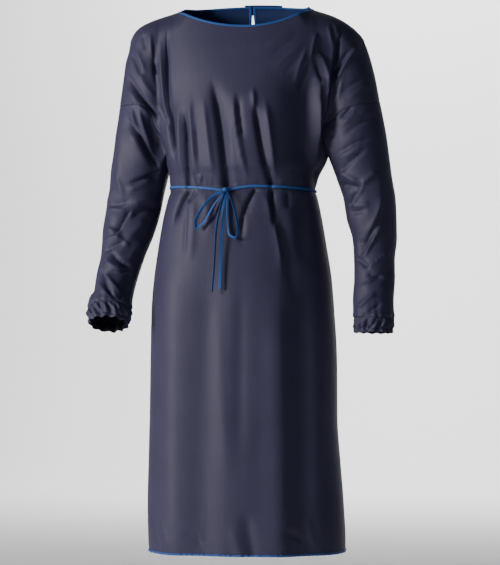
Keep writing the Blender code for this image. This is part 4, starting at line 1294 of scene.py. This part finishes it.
def make_camera():
    """Long lens from a little to the wearer's left, level with the smock's lower half."""
    turn = math.radians(CAMERA_TURN)
    data = bpy.data.cameras.new("camera")
    data.sensor_fit = "HORIZONTAL"
    data.sensor_width = SENSOR_WIDTH
    data.lens = SENSOR_WIDTH * CAMERA_DISTANCE / FRAME_WIDTH
    data.dof.use_dof = False
    camera = bpy.data.objects.new("camera", data)
    bpy.context.scene.collection.objects.link(camera)
    camera.location = (
        CAMERA_DISTANCE * math.sin(turn) + VIEW_ACROSS * math.cos(turn),
        -CAMERA_DISTANCE * math.cos(turn) + VIEW_ACROSS * math.sin(turn),
        CAMERA_HEIGHT,
    )
    tilt = math.atan((VIEW_HEIGHT - CAMERA_HEIGHT) / CAMERA_DISTANCE)
    camera.rotation_euler = (math.pi / 2 + tilt, 0, turn)
    bpy.context.scene.camera = camera


def make_light(name, place, target, size, power, shade):
    """Square area light turned to a target."""
    data = bpy.data.lights.new(name, "AREA")
    data.size = size
    data.energy = power
    data.color = colour(shade)[:3]
    light = bpy.data.objects.new(name, data)
    bpy.context.scene.collection.objects.link(light)
    light.location = place
    away = np.array(place) - np.array(target)
    flat = math.hypot(away[0], away[1])
    light.rotation_euler = (math.atan2(flat, away[2]), 0, math.atan2(away[0], -away[1]))


def make_stage():
    """Pale floor that curves up behind the smock, and an even pale world."""
    profile = [(-STAGE_REACH, 0.0), (STAGE_CORNER, 0.0)]
    for i in range(1, STAGE_STEPS + 1):
        turn = math.radians(90 * i / STAGE_STEPS)
        out = STAGE_CORNER + STAGE_CURVE * math.sin(turn)
        profile.append((out, STAGE_CURVE * (1 - math.cos(turn))))
    profile.append((STAGE_CORNER + STAGE_CURVE, WALL_HEIGHT))
    verts = []
    for across in (-STAGE_REACH, STAGE_REACH):
        verts += [(across, y, FLOOR_Z + z) for y, z in profile]
    count = len(profile)
    faces = [(i, count + i, count + i + 1, i + 1) for i in range(count - 1)]
    data = bpy.data.meshes.new("floor")
    data.from_pydata(verts, [], faces)
    data.materials.append(plain_material("pale_floor", FLOOR_COLOUR, 0.9))
    data.shade_smooth()
    floor = bpy.data.objects.new("floor", data)
    bpy.context.scene.collection.objects.link(floor)
    world = bpy.data.worlds.new("pale_world")
    bpy.context.scene.world = world
    world.use_nodes = True
    background = world.node_tree.nodes["Background"]
    background.inputs["Color"].default_value = colour(WORLD_COLOUR)
    background.inputs["Strength"].default_value = WORLD_STRENGTH


make_camera()
make_light("key", (-3.6, -2.6, 0.35), KEY_TARGET, 1.3, 268, "#fff9f2")
make_light("fill", (3.2, -3.6, 0.4), SMOCK_MIDDLE, 2.5, 4, "#eef3ff")
make_light("rim", (-0.4, 2.0, 2.2), SMOCK_MIDDLE, 2.0, 6, "#f4f7ff")
make_light("backdrop_light", (0, 5.4, 2.8), WALL_TARGET, 2.5, 420, "#ffffff")
make_stage()

# Plain-woven polyester with a thin coating on its face: the coating shines softly and
# crinkles finely. Its threads, a quarter of a millimetre wide, are drawn as a coarser grain.
coated = cloth_material("coated_polyester", "#292941", "#34334e", 0.60, 0.5, 0.1, 1.6)
# The uncoated side of the same cloth is dyed bluer and lies matt
inner_side = cloth_material("uncoated_inside", "#14234f", "#1c2f62", 0.7, 0.5, 0.1, 1.6)
# Inside of a sleeve and its turned cuff: the uncoated side painted much darker, as painted shade,
# since it shows only in deep shade at the mouth
painted_shade_inside = cloth_material("inside_with_painted_shade", "#0d1020", "#15182b", 0.72, 0.5, 0.1, 1.6)
# Bias-cut polycotton, folded over the edge: matt, with a fine grain
bias = cloth_material("bias_binding", "#1d4688", "#26559c", 0.58, 0.6, 0.18, 1.3)
# Narrow woven polyester tape: duller than the binding, with a finer, deeper grain
tape = cloth_material("woven_tape", "#1f4684", "#2b589c", 0.66, 0.5, 0.25, 1.2)
# Polyester sewing thread with a low sheen
thread = plain_material("sewing_thread", "#34508a", 0.45)
dark_thread = plain_material("dark_sewing_thread", "#2a2b3a", 0.45)


def dress(item, slot, *nodes):
    """The piece rides on the smock and stands for its CAD node, if it has one."""
    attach(item, "root")
    if nodes:
        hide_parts(*nodes)
    return item


def trim(name, verts, faces, material, slot, *nodes):
    """A sewn-on piece."""
    return dress(piece(name, verts, faces, [material]), slot, *nodes)


# Ties


def hung_line(table):
    """Smooth line in front of the skirt, from a table of places and clearances."""
    route = named(table)
    steps = np.arange(len(route["x"]), dtype=float)
    at = np.linspace(0, steps[-1], HUNG_POINTS)
    x = smooth(steps, route["x"], at)
    z = smooth(steps, route["z"], at)
    clear = smooth(steps, route["clear"], at)
    depth = body_depth(x, z, "front")
    height = np.maximum(fold_height("front", x, z), 0)
    return np.stack((x, -(depth + FOLD_CLEARANCE * height + clear), z), axis=-1)


def ribbon(name, table, turns, node):
    """A hanging length of tape, turned from facing out (0) to edge on (90) along its way."""
    line, = resample(hung_line(table), RIBBON_STEP)
    along = unit(np.gradient(line, axis=0))
    turn = np.radians(np.linspace(turns[0], turns[1], len(line)))[:, None]
    away = np.array((0.0, 1.0, 0.0))
    beside = unit(np.cross(along, away))
    behind = unit(np.cross(beside, along))
    wide = beside * np.cos(turn) + behind * np.sin(turn)
    out = np.cross(along, wide)
    rings = band_rings(line, wide, out, RIBBON_WIDTH, TAPE_THICK, RIBBON_RIPPLE, 1.0)
    item = trim(name, *tube(rings), tape, "woven_tape", node)


ribbon("loop_right", LOOP_RIGHT, (20, 58), "bow_loop_right")
ribbon("loop_left", LOOP_LEFT, (62, 35), "bow_loop_left")
ribbon("end_flat", TIE_FLAT, (10, 4), "tie_end_flat")
ribbon("end_narrow", TIE_NARROW, (50, 68), "tie_end_narrow")


# Trim of the panels


def on_cloth(x, z, face, height):
    """Points at a height over the shaped cloth, with their outward directions."""
    points, normals = body_points(x, z, face)
    return points + normals * height, normals


def sewn_binding(name, rings, sewn, out, node):
    """A folded binding and the row of stitches that holds it."""
    band = trim(name, *tube(rings), bias, "bias_binding", node)
    return [band, trim(name + "_stitches", *stitches(sewn, out), thread, "bias_binding")]


def hem_band(name, start, end, face, node):
    """Binding folded over the hem, from one place across to another."""
    x = start + (end - start) * close_ends(HEM_POINTS)
    line, normals = on_cloth(x, np.full_like(x, HEM_Z + BINDING_WIDTH / 2), face, 0.0)
    line, normals = resample(line, HEM_BAND_STEP, normals)
    normals = unit(normals)
    along = unit(np.gradient(line, axis=0))
    rings = band_rings(
        line - normals * CLOTH_WALL / 2,
        unit(np.cross(along, normals)),
        normals,
        BINDING_WIDTH,
        BINDING_THICK,
        HEM_RIPPLE,
        HEM_SEED[face],
    )
    sewn_z = np.full_like(x, HEM_Z + BINDING_WIDTH - HEM_STITCH_INSET)
    sewn, out = on_cloth(x, sewn_z, face, BINDING_THICK / 2)
    return sewn_binding(name, rings, sewn, out, node)


def slit_band(name, side, node):
    """Binding down one edge of the centre-back opening."""
    z = np.linspace(HEM_Z + 0.4, BACK_NECK_Z - 0.5, SLIT_POINTS)
    x = slit_edge(side, z) + side * SLIT_BINDING_WIDTH / 2
    line, normals = on_cloth(x, z, "back", -CLOTH_WALL / 2)
    along = unit(np.gradient(line, axis=0))
    across = unit(np.cross(along, normals))
    rings = band_rings(
        line, across, normals, SLIT_BINDING_WIDTH, BINDING_THICK, BINDING_RIPPLE, 1.0 + side
    )
    high = BINDING_THICK / 2 - SLIT_STITCH_SINK
    sewn, out = on_cloth(x + side * SLIT_STITCH_INSET, z, "back", high)
    return sewn_binding(name, rings, sewn, out, node)


def neck_band(name, sides, face, node):
    """Binding round one panel's edge at the neck."""
    lines = []
    for side in sides:
        share = np.linspace(0, 1, NECK_POINTS)
        x, z = neck_edge(side, face, share)
        points, normals = body_points(x, z, face)
        along = unit(np.gradient(points, axis=0))
        off = unit(np.cross(along, normals))
        toward = np.array(NECK_MIDDLE) - points
        off = np.where(np.sum(off * toward, axis=-1, keepdims=True) < 0, -off, off)
        near = ease((share - NECK_TURN) / (1 - NECK_TURN))[:, None]
        off = unit(off * (1 - near) + np.array((-side, 0, 0.12)) * near)
        lines.append((points, off))
    if len(lines) == 2:
        line = np.concatenate((lines[0][0][::-1], lines[1][0][1:]))
        off = np.concatenate((lines[0][1][::-1], lines[1][1][1:]))
    else:
        line, off = lines[0]
    line, off = resample(line, NECK_BAND_STEP, off)
    off = unit(off)
    along = unit(np.gradient(line, axis=0))
    out = unit(np.cross(along, off))
    outward = np.array((0, face_sign(face), 0.6))
    out = np.where(np.sum(out * outward, axis=-1, keepdims=True) < 0, -out, out)
    centre = line + off * (NECK_GAP + BINDING_WIDTH / 2 - NECK_OVERLAP)
    rings = band_rings(centre, off, out, BINDING_WIDTH, BINDING_THICK, BINDING_RIPPLE, 0.5)
    sewn = line + off * NECK_STITCH_INSET + out * (BINDING_THICK / 2 - NECK_STITCH_SINK)
    return sewn_binding(name, rings, sewn, out, node)


def tape_height(x, face):
    """Height at which the tape lies, a little higher and lower by turns."""
    if face == "back":
        return TAPE_BACK_Z + TAPE_SWAY * np.sin(x / TAPE_SWAY_RUN)
    line = named(TAPE_LINE)
    return WAIST_Z + smooth(line["x"], line["up"], x)


def waist_tape():
    """Tape drawn round the waist, as one closed loop."""
    parts = []
    outs = []
    edges = [torso_edge(side, np.array(float(WAIST_Z))) for side in (-1, 1)]
    for face in ("front", "back"):
        x = edges[0] + (edges[1] - edges[0]) * close_ends(TAPE_POINTS)
        z = tape_height(x, face)
        depth = body_depth(x, z, face)
        normals = body_normal(x, z, face)
        line = np.stack((x, face_sign(face) * depth, z), axis=-1)
        fold = 0.5 * fold_height(face, x, z) * ease(depth / FOLD_FADE)
        line = line + normals * (0.5 + fold)[:, None]
        if face == "back":
            line = line[::-1]
            normals = normals[::-1]
        parts.append(line[:-1])
        outs.append(normals[:-1])
    line, out = [np.concatenate((*values, values[0][:1])) for values in (parts, outs)]
    line, out = resample(line, TAPE_STEP, out)
    line = line[:-1]
    out = unit(out[:-1])
    along = unit(np.roll(line, -1, axis=0) - np.roll(line, 1, axis=0))
    across = unit(np.cross(along, out))
    rings = band_rings(line, across, out, TAPE_WIDTH, TAPE_THICK, TAPE_RIPPLE, 2.5)
    verts = rings.reshape(-1, 3)
    return trim("waist_tape", verts, loop_faces(len(rings)), tape, "woven_tape", "belt")


def tied_knot():
    """Knot of the tape: a folded lump with two turns of tape drawn across it."""
    x, z = KNOT_PLACE
    deep = float(body_depth(np.array([float(x)]), np.array([float(z)]), "front")[0])
    centre = np.array((x, -(deep + KNOT_LIFT), z))
    turn = np.linspace(0, 2 * math.pi, KNOT_TURNS + 1)[:-1]
    rings = []
    for lift in np.linspace(-math.pi / 2 + 0.05, math.pi / 2 - 0.05, KNOT_ROWS):
        swell = 1 + 0.09 * np.sin(3 * turn + 2 * lift) + 0.06 * np.sin(5 * turn - 3 * lift)
        flat = KNOT_RADIUS * math.cos(lift) * swell
        high = np.full_like(turn, KNOT_HALF_HEIGHT * math.sin(lift))
        ring = (flat * np.cos(turn), KNOT_FLATNESS * flat * np.sin(turn), high)
        rings.append(np.stack(ring, axis=-1))
    verts, faces = tube(np.array(rings) + centre)
    turn = np.linspace(0, 2 * math.pi, WRAP_POINTS + 1)[:-1]
    for lean, wide in KNOT_WRAPS:
        axis = np.array((math.sin(lean), 0, math.cos(lean)))
        first = np.array((math.cos(lean), 0, -math.sin(lean)))
        second = np.array((0, 1.0, 0))
        out = first * np.cos(turn)[:, None] + second * np.sin(turn)[:, None]
        line = centre + first * WRAP_ACROSS * np.cos(turn)[:, None]
        line = line + second * WRAP_DEEP * np.sin(turn)[:, None]
        across = np.tile(axis, (WRAP_POINTS, 1))
        band = band_rings(line, across, out, wide, TAPE_THICK, WRAP_RIPPLE, lean)
        faces += loop_faces(WRAP_POINTS, len(verts))
        verts += band.reshape(-1, 3).tolist()
    return trim("tape_knot", verts, faces, tape, "woven_tape", "belt_knot")


def closing_tab():
    """Tab that closes the neck across the opening, sewn at one end."""
    x = np.linspace(TAB_START, TAB_END, TAB_COLUMNS)
    neck_z = np.zeros_like(x)
    for side, here in ((-1, x < BACK_CENTRE), (1, x >= BACK_CENTRE)):
        start = slit_edge(side, np.array(BACK_NECK_Z))
        share = np.clip((x - start) / (side * NECK_CORNER[side] - start), 0, 1)
        _, edge_z = neck_edge(side, "back", share)
        neck_z = np.where(here, edge_z, neck_z)
    line, line_normals = body_points(x, neck_z, "back")
    along = unit(np.gradient(line, axis=0))
    up = unit(np.cross(along, line_normals))
    up = np.where(up[:, 2:] < 0, -up, up)
    rows = []
    for below in np.linspace(TAB_BELOW, 0.5, TAB_LOW_ROWS):
        points, normals = body_points(x, neck_z - below, "back")
        rows.append(points + normals * TAB_LIFT)
    for above in np.linspace(1.5, TAB_ABOVE, TAB_HIGH_ROWS):
        rows.append(line + up * above + line_normals * TAB_LIFT)
    points = np.array(rows)
    verts, faces = join_grids([points], np.array((0, 1, 0)))
    item = piece("closing_tab", verts, faces, [coated, inner_side])
    dress(item, "coated_cloth", "neck_tab")
    thicken(item, TAB_WALL)
    sewn = stitches(points[TAB_STITCH_ROW] + line_normals * TAB_STITCH_LIFT, line_normals)
    return item, [trim("tab_stitches", *sewn, dark_thread, "coated_cloth")]


# Panels and sleeves

halves = {(face, side): half_panel(side, face) for face in ("front", "back") for side in (-1, 1)}


def seam_stitches(name, side, face):
    """Row of topstitching along the armhole seam of one panel."""
    wing = halves[face, side][2]
    row = wing[SEAM_STITCH_ROW]
    normals = body_normal(row[:, 0], row[:, 2], face)
    sewn = stitches(row + normals * STITCH_LIFT, normals)
    return trim(name, *sewn, dark_thread, "coated_cloth")


def panel(name, sides, face, node):
    """One panel of the body with its inner side."""
    grids = []
    for side in sides:
        grids += halves[face, side][1:]
    verts, faces = join_grids(grids, np.array((0, face_sign(face), 0)))
    item = piece(name, verts, faces, [coated, inner_side])
    weld(item)
    thicken(item, CLOTH_WALL)
    return dress(item, "coated_cloth", node)


def ring_tube(name, points, node):
    """An open tube of cloth with its inner side, which is painted dark as painted shade."""
    faces = grid_faces(*points.shape[:2], ring=True, flip=turned_in(points))
    item = piece(name, points.reshape(-1, 3), faces, [coated, painted_shade_inside])
    thicken(item, CLOTH_WALL)
    return dress(item, "coated_cloth", node)


hem_level = np.array(float(HEM_Z + BINDING_WIDTH / 2))
hem_ends = {side: float(torso_edge(side, hem_level)) for side in (-1, 1)}
slit_ends = {side: float(slit_edge(side, hem_level)) for side in (-1, 1)}

front = panel("front_panel", (-1, 1), "front", "front")
front_trim = hem_band("front_hem_binding", hem_ends[-1], hem_ends[1], "front", "hem_binding_front")
front_trim += neck_band("front_neck_binding", (-1, 1), "front", "neck_binding_front")
front_trim += [waist_tape(), tied_knot()]
front_trim += [
    seam_stitches("front_armhole_stitches_right", -1, "front"),
    seam_stitches("front_armhole_stitches_left", 1, "front"),
]

for side, word in ((-1, "right"), (1, "left")):
    back = panel(f"back_panel_{word}", (side,), "back", f"back_{word}")
    back_trim = hem_band(
        f"back_hem_binding_{word}",
        slit_ends[side],
        hem_ends[side],
        "back",
        f"hem_binding_back_{word}",
    )
    back_trim += slit_band(f"opening_binding_{word}", side, f"edge_binding_{word}")
    back_trim += neck_band(
        f"back_neck_binding_{word}", (side,), "back", f"neck_binding_back_{word}"
    )
    back_trim.append(seam_stitches(f"back_armhole_stitches_{word}", side, "back"))
    sleeve = ring_tube(f"sleeve_shell_{word}", sleeve_points(side), f"sleeve_{word}")
    cuff = ring_tube(f"cuff_shell_{word}", cuff_points(side), f"cuff_{word}")

tab, tab_trim = closing_tab()
